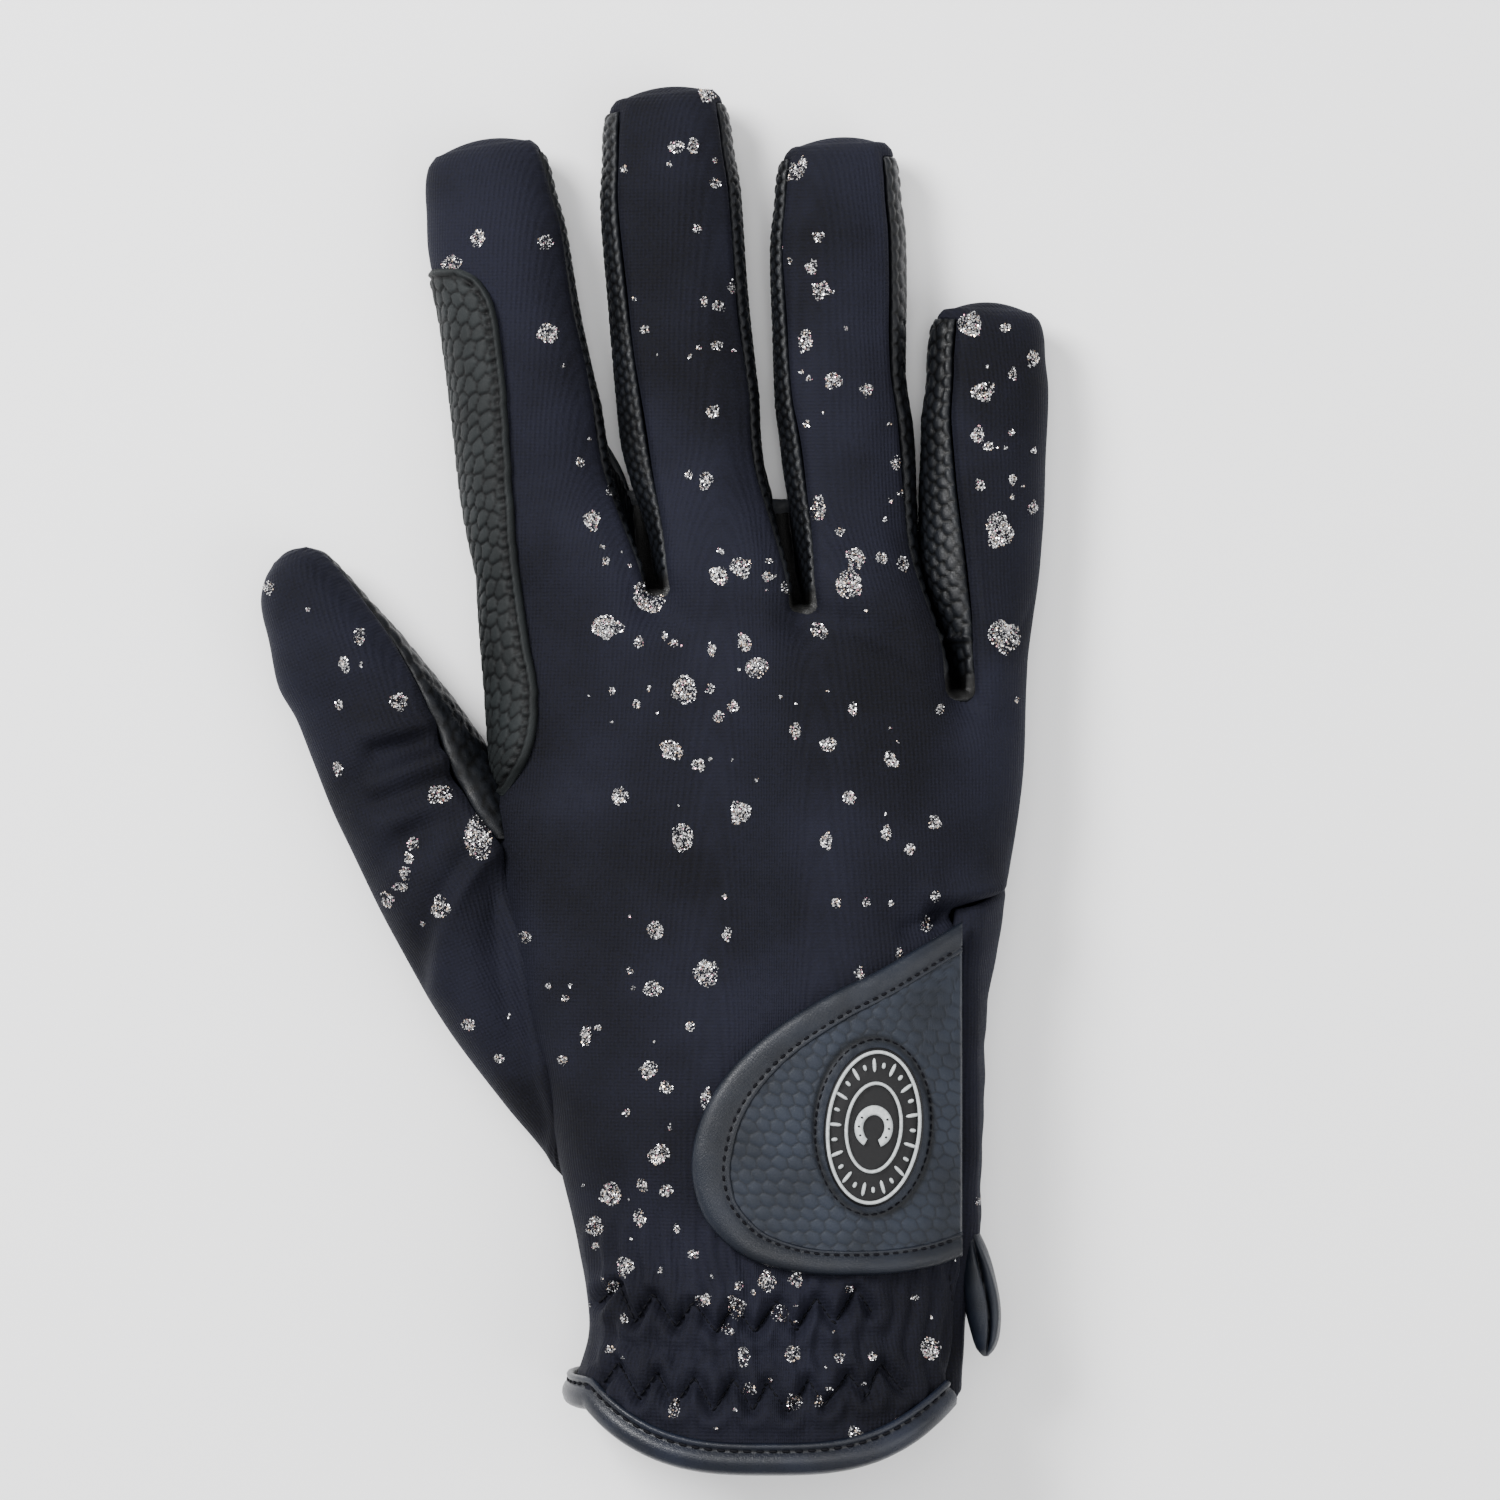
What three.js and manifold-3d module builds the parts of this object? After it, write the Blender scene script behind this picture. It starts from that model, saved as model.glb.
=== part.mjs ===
// A right-hand horse riding glove lying on its palm: a stretch fabric back, a leather palm, leather side
// walls between the fingers, a sewn-in thumb, and a D-shaped wrist tab that carries an oval badge.
// Millimetres. +X is the little-finger side, +Y runs from the wrist opening to the fingertips, +Z is up.

import * as THREE from "three";
import { mergeVertices } from "three/addons/utils/BufferGeometryUtils.js";
import Module from "manifold-3d";

const wasm = await Module();
wasm.setup();

// Walls and clearances
const FABRIC_WALL = 1.4;
const LEATHER_WALL = 1.5;
const SEAM_GAP = 0.3;
const LAP_GAP = 0.3;
const FINGER_GAP = 0.6;

// The hand, from the hem's middle to the finger roots
const HAND_LENGTH = 150;
const HAND_HALF_WIDTH = 46;
const HAND_THICKNESS = 29;
const HAND_ROUNDNESS = 2.6;
const HEM_SAG = 11.5;
const PALM_HEM_RISE = 6;
const CROTCH_DIP = 3.5;
const CROTCH_SPREAD = 4;
const CROTCH_REACH = 7;
const CROTCH_WEB = 2.6;

// The fingers
const INDEX_LENGTH = 79.5;
const MIDDLE_LENGTH = 87.5;
const RING_LENGTH = 82;
const LITTLE_LENGTH = 64.5;
const FINGER_WIDTH = 23.8;
const FINGER_THICKNESS = 17.5;
const FINGER_ROUNDNESS = 2.35;
const TIP_BULGE = 1.6;

// The thumb
const THUMB_LENGTH = 119;
const THUMB_WIDTH = 27;
const THUMB_THICKNESS = 21;
const THUMB_ROUNDNESS = 2.2;
const THUMB_LEAN = 23.4;
const THUMB_FOLD_DEPTH = 1.3;

// The wrist: slit, hem binding and the folded leather loop at the slit's foot
const VENT_LENGTH = 84;
const BINDING_WALL = 1.1;
const BINDING_CLEARANCE = 0.2;
const HEM_BINDING_WIDTH = 4.2;
const HEM_LIFT_REACH = 26;
const LOOP_LENGTH = 21;
const LOOP_HEIGHT = 7;
const LOOP_THICKNESS = 5.2;

// The wrist tab and its badge
const TAB_LENGTH = 46;
const TAB_WIDTH = 59.5;
const TAB_WALL = 1.5;
const TAB_BINDING_WIDTH = 4;
const TAB_BINDING_RISE = 0.7;
const BADGE_HALF_WIDTH = 8.4;
const BADGE_HALF_HEIGHT = 13.4;
const BADGE_TILT = 5;
const BADGE_WALL = 1.2;
const BADGE_RIM = 0.9;
const BADGE_RELIEF = 0.5;
const BADGE_FIELD_HALF_WIDTH = 5.2;
const BADGE_FIELD_HALF_HEIGHT = 7.8;
const EMBLEM_RADIUS = 3.3;
const EMBLEM_STROKE = 1.5;
const EMBLEM_START = -60;
const EMBLEM_END = 240;
const EMBLEM_STRETCH = 1.15;
const EMBLEM_STEPS = 12;
const BADGE_SIDES = 20;

// The leather that laps over the outer side of the index finger
const WRAP_LENGTH = 91;
const WRAP_WIDTH = 8.4;
const WRAP_FLOOR = 1.2;
const WRAP_SEARCH = 2.5 * WRAP_WIDTH;

// The grid's density: cells across a finger, up a side wall, along the hand and along a finger
const ACROSS = 4;
const UP = 3;
const VENT_ROWS = 10;
const KNUCKLE_ROWS = 6;

// Shares of the hand's height: where it is widest, and how far its flattened underside would reach
const WIDEST_SHARE = 0.42;
const UNDERSIDE_SHARE = 1.25;

// The hand's outline and height. along is a share of HAND_LENGTH from the hem, left and right of
// HAND_HALF_WIDTH, and height of HAND_THICKNESS. slit is where the back's fabric ends on the little-finger
// side, as a share of the half width there.
const HAND_SECTIONS = [
  { along: 0.0, left: 0.745, right: 0.745, height: 1.27, slit: 0.92 },
  { along: 0.09, left: 0.735, right: 0.725, height: 1.26, slit: 0.93 },
  { along: 0.155, left: 0.675, right: 0.735, height: 1.2, slit: 0.94 },
  { along: 0.21, left: 0.655, right: 0.755, height: 1.16, slit: 0.935 },
  { along: 0.26, left: 0.67, right: 0.79, height: 1.15, slit: 0.925 },
  { along: 0.33, left: 0.75, right: 0.8, height: 1.15, slit: 0.91 },
  { along: 0.43, left: 0.825, right: 0.81, height: 1.14, slit: 0.9 },
  { along: 0.54, left: 0.925, right: 0.83, height: 1.1, slit: 0.87 },
  { along: 0.62, left: 0.97, right: 0.885, height: 1.05, slit: 0.83 },
  { along: 0.7, left: 0.995, right: 0.925, height: 1.01, slit: 0.84 },
  { along: 0.8, left: 1.015, right: 0.975, height: 0.96, slit: 0.87 },
  { along: 0.9, left: 1.035, right: 0.98, height: 0.9, slit: 0.9 },
  { along: 1.0, left: 1.06, right: 0.985, height: 0.84, slit: 0.9 },
  { along: 1.15, left: 1.08, right: 0.99, height: 0.78, slit: 0.9 },
];

// The five edges between the fingers, at the back of the hand and at the palm. x is a share of
// HAND_HALF_WIDTH, y of HAND_LENGTH; the two outer ones lie on the hand's own outline.
const ROOTS = [
  { backX: null, backY: 1.0, palmX: null, palmY: 1.07 },
  { backX: -0.415, backY: 1.012, palmX: -0.49, palmY: 1.13 },
  { backX: 0.13, backY: 0.994, palmX: 0.05, palmY: 1.12 },
  { backX: 0.683, backY: 0.897, palmX: 0.56, palmY: 1.07 },
  { backX: null, backY: 0.9, palmX: null, palmY: 0.98 },
];

// The fingers. x and y place the root of the axis as shares of HAND_HALF_WIDTH and HAND_LENGTH, lean is in
// degrees towards the thumb, bow and width are shares of FINGER_WIDTH, flare widens the root. seamLeft and
// seamRight are the back seams' distances from the axis, as shares of the half width.
const FINGERS = [
  { name: "index", length: INDEX_LENGTH, x: -0.741, y: 1.0, lean: 9.9, bow: 0.03, width: 1.02, flare: 0.4,
    seamLeft: 0.93, seamRight: 0.95 },
  { name: "middle", length: MIDDLE_LENGTH, x: -0.195, y: 1.0, lean: 5.2, bow: 0.05, width: 1.02, flare: 0.06,
    seamLeft: 0.57, seamRight: 0.88 },
  { name: "ring", length: RING_LENGTH, x: 0.337, y: 0.98, lean: 3.0, bow: 0.05, width: 0.99, flare: 0.05,
    seamLeft: 0.62, seamRight: 0.83 },
  { name: "little", length: LITTLE_LENGTH, x: 0.765, y: 0.905, lean: -2.3, bow: -0.02, width: 0.94, flare: 0,
    seamLeft: 0.3, seamRight: 0.93 },
];

// Every finger's taper, as shares of its length, width and thickness.
const FINGER_SECTIONS = [
  { along: 0.0, width: 1.0, height: 1.12 },
  { along: 0.3, width: 1.0, height: 1.06 },
  { along: 0.6, width: 0.99, height: 1.0 },
  { along: 0.8, width: 1.0, height: 0.96 },
  { along: 0.88, width: 0.94, height: 0.9 },
  { along: 0.94, width: 0.885, height: 0.8 },
  { along: 0.98, width: 0.79, height: 0.64 },
  { along: 1.0, width: 0.66, height: 0.46 },
];
const FINGER_STATIONS = [0, 0.08, 0.18, 0.32, 0.48, 0.64, 0.78, 0.88, 0.95, 1];
const SIDE_WALL_STATIONS = 8;
const ROOT_BLEND = 0.3;
const PALM_SEAM = 0.78;
const THUMB_SIDE_SEAM = 0.9;

// The thumb along its axis from the wrist to the tip: how far it reaches to its outer side and to the hand's
// side as shares of THUMB_WIDTH, and its height as a share of THUMB_THICKNESS.
const THUMB_SECTIONS = [
  { along: 0.0, outer: 0.03, inner: 0.3, height: 0.9 },
  { along: 0.06, outer: 0.11, inner: 0.42, height: 0.98 },
  { along: 0.15, outer: 0.24, inner: 0.55, height: 1.06 },
  { along: 0.29, outer: 0.385, inner: 0.64, height: 1.12 },
  { along: 0.44, outer: 0.42, inner: 0.66, height: 1.1 },
  { along: 0.57, outer: 0.445, inner: 0.64, height: 1.04 },
  { along: 0.64, outer: 0.43, inner: 0.6, height: 1.0 },
  { along: 0.72, outer: 0.4, inner: 0.525, height: 0.96 },
  { along: 0.78, outer: 0.43, inner: 0.455, height: 0.94 },
  { along: 0.835, outer: 0.467, inner: 0.385, height: 0.92 },
  { along: 0.9, outer: 0.385, inner: 0.28, height: 0.86 },
  { along: 0.955, outer: 0.325, inner: 0.2, height: 0.74 },
  { along: 0.985, outer: 0.27, inner: 0.14, height: 0.6 },
  { along: 1.0, outer: 0.18, inner: 0.07, height: 0.42 },
];
const THUMB_ROOT = { x: -0.724, y: 0.322 };
const THUMB_SIDES = 12;
const THUMB_STATIONS = 17;
const THUMB_CROWDING = 1.25;

// The angles round the thumb's axis that its fabric back covers, and the wedge that parts it off.
const THUMB_BACK_START = 20;
const THUMB_BACK_END = 205;
const WEDGE_OVERRUN = 0.2;
const WEDGE_SPOKES = 4;
const WEDGE_REACH = 3 * THUMB_WIDTH;

// The thumb's crosswise folds: along is a share of THUMB_LENGTH, slant is how much further along the fold
// runs at the outer edge, depth a share of THUMB_FOLD_DEPTH and width a share of THUMB_LENGTH.
const THUMB_FOLDS = [
  { along: 0.7, slant: -0.05, depth: 1.0, width: 0.028 },
  { along: 0.62, slant: -0.09, depth: 0.9, width: 0.03 },
  { along: 0.5, slant: -0.1, depth: 0.6, width: 0.03 },
];

// The tab's outline, from its top corner round the free end to its lower corner. along is a share of
// TAB_LENGTH from the slit, across of TAB_WIDTH from the lower edge.
const TAB_OUTLINE = [
  { along: 0.0, across: 1.0 },
  { along: 0.3, across: 0.868 },
  { along: 0.475, across: 0.803 },
  { along: 0.655, across: 0.72 },
  { along: 0.79, across: 0.637 },
  { along: 0.895, across: 0.545 },
  { along: 0.967, across: 0.443 },
  { along: 1.0, across: 0.333 },
  { along: 0.991, across: 0.24 },
  { along: 0.943, across: 0.147 },
  { along: 0.834, across: 0.065 },
  { along: 0.713, across: 0.023 },
  { along: 0.535, across: 0.0 },
  { along: 0.294, across: 0.0 },
  { along: 0.113, across: 0.018 },
  { along: 0.0, across: 0.042 },
];
const TAB_FOOT = { x: 0.72, y: 0.235 };
const BADGE_PLACE = { along: 0.325, across: 0.402 };

// The lapped leather's free edge. along is a share of WRAP_LENGTH from its lower end, across a share of
// WRAP_WIDTH from the outer edge of the hand and finger.
const WRAP_EDGE = [
  { along: 0.0, across: 0.1 },
  { along: 0.03, across: 0.4 },
  { along: 0.11, across: 0.82 },
  { along: 0.2, across: 0.92 },
  { along: 0.3, across: 0.76 },
  { along: 0.45, across: 0.77 },
  { along: 0.58, across: 0.83 },
  { along: 0.75, across: 0.93 },
  { along: 0.9, across: 0.98 },
  { along: 0.97, across: 0.8 },
  { along: 1.0, across: 0.35 },
];
const WRAP_START = 0.775;

// The folded loop at the slit's foot, from its upper end down: widths as shares of LOOP_THICKNESS, heights
// of LOOP_HEIGHT.
const LOOP_SECTIONS = [
  { along: 0.0, width: 0.25, height: 0.3 },
  { along: 0.15, width: 0.6, height: 0.7 },
  { along: 0.4, width: 1.0, height: 1.0 },
  { along: 0.7, width: 1.0, height: 0.95 },
  { along: 0.9, width: 0.65, height: 0.7 },
  { along: 1.0, width: 0.25, height: 0.3 },
];
const LOOP_SIDES = 10;
const LOOP_PLACE = { x: 0.812, y: 0.274, z: 0.68 };

// The value of a table's column at a share along it, on a smooth curve through the rows.
function read(table, column, share) {
  const last = table.length - 1;
  let k = 0;
  while (k < last - 1 && table[k + 1].along < share) k += 1;
  const span = table[k + 1].along - table[k].along;
  const t = THREE.MathUtils.clamp((share - table[k].along) / span, 0, 1);
  const slope = (i) => {
    const before = table[Math.max(i - 1, 0)];
    const after = table[Math.min(i + 1, last)];
    return (after[column] - before[column]) / (after.along - before.along);
  };
  return (
    (2 * t ** 3 - 3 * t ** 2 + 1) * table[k][column] +
    (t ** 3 - 2 * t ** 2 + t) * span * slope(k) +
    (3 * t ** 2 - 2 * t ** 3) * table[k + 1][column] +
    (t ** 3 - t ** 2) * span * slope(k + 1)
  );
}

const range = (count, from = 0) => Array.from({ length: count }, (_, k) => from + k);
const radians = THREE.MathUtils.degToRad;
const smooth = (t) => THREE.MathUtils.smoothstep(t, 0, 1);
const lerp = THREE.MathUtils.lerp;

// Superellipse helpers: the height at a share of the half width, and a point at an angle.
const rise = (share, roundness) => (1 - Math.min(Math.abs(share), 1) ** roundness) ** (1 / roundness);
const bulge = (value, roundness) => Math.sign(value) * Math.abs(value) ** (2 / roundness);
const seamAngle = (share, roundness) => Math.acos(share ** (roundness / 2));

// A section's height above the floor at a share of its half width, on its upper or flattened lower side.
function heightAt(share, height, roundness, upper) {
  const middle = WIDEST_SHARE * height;
  if (upper) return middle + (height - middle) * rise(share, roundness);
  return Math.max(0, middle - UNDERSIDE_SHARE * middle * rise(share, roundness));
}

// How far the hand and index finger draw in under the lapped leather, so that it lies flush at the edge.
function wrapRoom(y) {
  const start = HAND_LENGTH * WRAP_START;
  const inside = Math.min(y - start, start + WRAP_LENGTH - y) / WRAP_WIDTH;
  return (LAP_GAP + LEATHER_WALL) * smooth(inside + 0.5);
}

// The hand's left edge, right edge and height at a distance y from the hem.
function handSection(y) {
  const share = y / HAND_LENGTH;
  return {
    left: -HAND_HALF_WIDTH * read(HAND_SECTIONS, "left", share) + wrapRoom(y),
    right: HAND_HALF_WIDTH * read(HAND_SECTIONS, "right", share),
    height: HAND_THICKNESS * read(HAND_SECTIONS, "height", share),
  };
}

// How far the fabric is drawn down at plan point x, y by the crotches between the fingers.
function crotchDip(x, y, back) {
  return ROOTS.slice(1, 4).reduce((dip, root) => {
    const across = (x - HAND_HALF_WIDTH * (back ? root.backX : root.palmX)) / CROTCH_SPREAD;
    const before = (HAND_LENGTH * (back ? root.backY : root.palmY) - y) / CROTCH_REACH;
    return dip + CROTCH_DIP * Math.exp(-across * across - Math.max(before, 0) ** 2);
  }, 0);
}

// The hand's columns, from the thumb side to the little-finger side. u runs across one finger, and the
// narrow column after each finger becomes the web of a crotch.
const COLUMNS = FINGERS.flatMap((_, f) => range(ACROSS + 1).map((k) => ({ f, u: k / ACROSS })));
COLUMNS.forEach((column, k) => {
  column.share = k / (COLUMNS.length - 1);
});

// Where a column of the hand starts at the hem and ends at the finger roots.
function columnEnds({ f, u, share }, back) {
  const reach = (2 * share - 1) ** 2;
  const hem = LAP_GAP + BINDING_WALL + (back ? HEM_SAG * reach : lerp(PALM_HEM_RISE, HEM_SAG, reach));
  const key = back ? "backY" : "palmY";
  return { hem, root: HAND_LENGTH * lerp(ROOTS[f][key], ROOTS[f + 1][key], u) };
}

// The share of the half width where the back or palm ends on one side of the hand.
function handSeam(side, y, back) {
  if (!back) return PALM_SEAM;
  return side < 0 ? THUMB_SIDE_SEAM : read(HAND_SECTIONS, "slit", y / HAND_LENGTH);
}

// A column's place across the back or palm at a share of the way to the finger roots, from -1 to 1.
function columnPlace({ f, u, share }, v, back) {
  const edge = (k, side) => {
    if (k === 0) return -1;
    if (k === ROOTS.length - 1) return 1;
    const y = HAND_LENGTH * (back ? ROOTS[k].backY : ROOTS[k].palmY);
    const { left, right } = handSection(y);
    const x = HAND_HALF_WIDTH * (back ? ROOTS[k].backX : ROOTS[k].palmX) + (side * CROTCH_WEB) / 2;
    const place = (2 * x - left - right) / (right - left);
    return place / handSeam(place, y, back);
  };
  return lerp(2 * share - 1, lerp(edge(f, 1), edge(f + 1, -1), u), v);
}

// How high the palm lifts off the floor near the hem, to leave room for the binding under it.
function bindingRoom(fromHem) {
  const lowered = smooth((fromHem - HEM_BINDING_WIDTH) / HEM_LIFT_REACH);
  return (LAP_GAP + BINDING_WALL + BINDING_CLEARANCE) * (1 - lowered);
}

// A point on the back (or palm) of the hand, in one of its columns and v of the way to the finger roots.
function handFace(column, v, back) {
  const { hem, root } = columnEnds(column, back);
  const y = lerp(hem, root, v);
  const { left, right, height } = handSection(y);
  const place = columnPlace(column, v, back);
  const share = place * handSeam(place, y, back);
  const x = (left + right) / 2 + (share * (right - left)) / 2;
  const z = heightAt(share, height, HAND_ROUNDNESS, back);
  const dip = crotchDip(x, y, back);
  return new THREE.Vector3(x, y, back ? z - dip : Math.max(z, bindingRoom(y - hem)) + dip);
}

// A point on the hand's outer side wall: w runs from the back's seam to the palm's seam.
function handSide(side, w, v) {
  const column = side < 0 ? COLUMNS[0] : COLUMNS.at(-1);
  const [top, bottom] = [columnEnds(column, true), columnEnds(column, false)];
  const y = lerp(lerp(top.hem, top.root, v), lerp(bottom.hem, bottom.root, v), w);
  const { left, right, height } = handSection(y);
  const from = seamAngle(handSeam(side, y, true), HAND_ROUNDNESS);
  const angle = lerp(from, -seamAngle(PALM_SEAM, HAND_ROUNDNESS), w);
  const share = side * bulge(Math.cos(angle), HAND_ROUNDNESS);
  const x = (left + right) / 2 + (share * (right - left)) / 2;
  const z = heightAt(share, height, HAND_ROUNDNESS, angle > 0);
  return new THREE.Vector3(x, y, Math.max(z, bindingRoom(y - lerp(top.hem, bottom.hem, w))));
}

// A point down the edge of a crotch's web, from the back to the palm.
function webEdge(column, w) {
  return handFace(column, 1, true).lerp(handFace(column, 1, false), w);
}

// A finger's axis: its root, its direction and the direction towards the little finger.
function fingerAxis(finger) {
  const lean = radians(finger.lean);
  return {
    root: new THREE.Vector2(HAND_HALF_WIDTH * finger.x, HAND_LENGTH * finger.y),
    ahead: new THREE.Vector2(-Math.sin(lean), Math.cos(lean)),
    aside: new THREE.Vector2(Math.cos(lean), Math.sin(lean)),
  };
}

// The half width of a finger on one side, kept clear of the neighbouring finger's axis.
function fingerHalfWidth(index, share, side) {
  const finger = FINGERS[index];
  const taper = read(FINGER_SECTIONS, "width", share) + finger.flare * Math.max(1 - share, 0) ** 3;
  const lapped = index === 0 && side < 0 ? wrapRoom(HAND_LENGTH + share * finger.length) : 0;
  const free = (FINGER_WIDTH * finger.width * taper) / 2 - lapped;
  const neighbour = FINGERS[index + side];
  if (!neighbour) return free;
  const own = fingerAxis(finger);
  const other = fingerAxis(neighbour);
  const point = own.root.clone().addScaledVector(own.ahead, share * finger.length);
  const apart = Math.abs(point.sub(other.root).dot(other.aside));
  const part = finger.width / (finger.width + neighbour.width);
  return Math.min(free, apart * part - FINGER_GAP / 2);
}

// A point on a finger's section at a share of its length: across is -1 to 1 of the half width.
function fingerSurface(index, share, across, upper) {
  const finger = FINGERS[index];
  const { root, ahead, aside } = fingerAxis(finger);
  const bow = -FINGER_WIDTH * finger.bow * Math.sin(Math.PI * share);
  const sideways = bow + across * fingerHalfWidth(index, share, Math.sign(across) || 1);
  const height = FINGER_THICKNESS * read(FINGER_SECTIONS, "height", share);
  const lift = ((FINGER_THICKNESS - height) / 2) * smooth((share - 0.8) / 0.2);
  const plan = root.clone().addScaledVector(ahead, share * finger.length).addScaledVector(aside, sideways);
  return new THREE.Vector3(plan.x, plan.y, lift + heightAt(across, height, FINGER_ROUNDNESS, upper));
}

// Carries a point of the finger's root along the finger and into its own section. t is the share of the way
// from that root point to the tip.
function fingerPoint(index, start, t, across, upper) {
  const finger = FINGERS[index];
  const { root, ahead } = fingerAxis(finger);
  const begun = new THREE.Vector2(start.x, start.y).sub(root).dot(ahead);
  const travelled = lerp(begun, finger.length, t);
  const carried = new THREE.Vector3(ahead.x, ahead.y, 0).multiplyScalar(travelled - begun).add(start);
  const section = fingerSurface(index, travelled / finger.length, across, upper);
  return carried.lerp(section, smooth(t / ROOT_BLEND));
}

// The back (or palm) face of a finger, in one of its columns.
function fingerFace(column, t, back) {
  const finger = FINGERS[column.f];
  const left = back ? finger.seamLeft : PALM_SEAM;
  const right = back ? finger.seamRight : PALM_SEAM;
  return fingerPoint(column.f, handFace(column, 1, back), t, lerp(-left, right, column.u), back);
}

// A finger's side wall, w from the back's seam to the palm's seam.
function fingerSide(index, side, w, t) {
  const finger = FINGERS[index];
  const from = seamAngle(side < 0 ? finger.seamLeft : finger.seamRight, FINGER_ROUNDNESS);
  const angle = lerp(from, -seamAngle(PALM_SEAM, FINGER_ROUNDNESS), w);
  const outer = index === (side < 0 ? 0 : FINGERS.length - 1);
  const column = COLUMNS[index * (ACROSS + 1) + (side < 0 ? 0 : ACROSS)];
  const start = outer ? handSide(side, w, 1) : webEdge(column, w);
  return fingerPoint(index, start, t, side * bulge(Math.cos(angle), FINGER_ROUNDNESS), angle > 0);
}

// A surface of welded quads, each with the name of the panel it belongs to.
class Cage {
  constructor() {
    this.points = [];
    this.quads = [];
  }

  point(position) {
    this.points.push(position);
    return this.points.length - 1;
  }

  quad(panel, tag, ...corners) {
    this.quads.push({ panel, tag, corners });
  }

  // Quads between two rows of points, with the outside on the left of the way along them.
  strip(panel, tag, low, high) {
    for (let i = 0; i + 1 < low.length; i += 1) {
      this.quad(panel, tag, low[i], low[i + 1], high[i + 1], high[i]);
    }
  }

  normals() {
    const sums = this.points.map(() => new THREE.Vector3());
    this.quads.forEach(({ corners }) => {
      const [a, b, c, d] = corners.map((k) => this.points[k]);
      const across = c.clone().sub(a).cross(d.clone().sub(b));
      corners.forEach((k) => sums[k].add(across));
    });
    return sums.map((sum) => sum.normalize());
  }
}

// The rows along the hand, with one at the top of the slit.
function handRows() {
  const { hem, root } = columnEnds(COLUMNS.at(-1), true);
  const vent = VENT_LENGTH / (root - hem);
  return [
    ...range(VENT_ROWS).map((k) => (vent * k) / VENT_ROWS),
    ...range(KNUCKLE_ROWS + 1).map((k) => lerp(vent, 1, k / KNUCKLE_ROWS)),
  ];
}

// The whole hand and its four fingers as one cage.
function handCage() {
  const cage = new Cage();
  const walls = range(UP - 1, 1).map((k) => k / UP);
  const rows = handRows().map((v) => ({
    back: COLUMNS.map((column) => cage.point(handFace(column, v, true))),
    palm: COLUMNS.map((column) => cage.point(handFace(column, v, false))),
    left: walls.map((w) => cage.point(handSide(-1, w, v))),
    right: walls.map((w) => cage.point(handSide(1, w, v))),
  }));
  const upLeft = (ring) => [ring.palm[0], ...[...ring.left].reverse(), ring.back[0]];
  const downRight = (ring) => [ring.back.at(-1), ...ring.right, ring.palm.at(-1)];
  rows.slice(1).forEach((high, j) => {
    const low = rows[j];
    const outerPanel = j < VENT_ROWS ? "vent_strip" : "back_panel";
    cage.strip("back_panel", "hand", low.back, high.back);
    cage.strip("palm_panel", "palm", [...low.palm].reverse(), [...high.palm].reverse());
    cage.strip("back_panel", "thumb_side", upLeft(low), upLeft(high));
    cage.strip(outerPanel, "little_side", downRight(low), downRight(high));
  });

  cage.hem = [...[...rows[0].back].reverse(), ...rows[0].left, ...rows[0].palm];
  cage.hemRow = new Set([...cage.hem, ...rows[0].right]);

  const roots = rows.at(-1);
  const first = FINGERS.map((_, f) => {
    const [start, end] = [f * (ACROSS + 1), (f + 1) * (ACROSS + 1)];
    const web = (k) => walls.map((w) => cage.point(webEdge(COLUMNS[k], w)));
    return {
      back: roots.back.slice(start, end),
      palm: roots.palm.slice(start, end),
      left: f === 0 ? roots.left : web(start),
      right: f === FINGERS.length - 1 ? roots.right : web(end - 1),
    };
  });
  FINGERS.slice(1).forEach((finger, f) => {
    const panel = `fourchette_${FINGERS[f].name}_${finger.name}`;
    cage.strip(panel, "web", [...upLeft(first[f + 1])].reverse(), downRight(first[f]));
  });
  FINGERS.forEach((finger, f) => {
    const columns = COLUMNS.filter((column) => column.f === f);
    const rings = FINGER_STATIONS.map((t, k) => {
      if (k === 0) return first[f];
      return {
        back: columns.map((column) => cage.point(fingerFace(column, t, true))),
        palm: columns.map((column) => cage.point(fingerFace(column, t, false))),
        left: walls.map((w) => cage.point(fingerSide(f, -1, w, t))),
        right: walls.map((w) => cage.point(fingerSide(f, 1, w, t))),
      };
    });
    rings.slice(1).forEach((high, k) => {
      const low = rings[k];
      const walled = k + 1 < SIDE_WALL_STATIONS;
      const leftPanel = f > 0 && walled ? `fourchette_${FINGERS[f - 1].name}_${finger.name}` : "back_panel";
      const rightPanel = f < 3 && walled ? `fourchette_${finger.name}_${FINGERS[f + 1].name}` : "back_panel";
      cage.strip("back_panel", `${finger.name}_back`, low.back, high.back);
      cage.strip("palm_panel", "palm", [...low.palm].reverse(), [...high.palm].reverse());
      cage.strip(leftPanel, `${finger.name}_left`, upLeft(low), upLeft(high));
      cage.strip(rightPanel, `${finger.name}_right`, downRight(low), downRight(high));
    });
    closeTip(cage, f, rings.at(-1), walls);
  });
  return cage;
}

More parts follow.
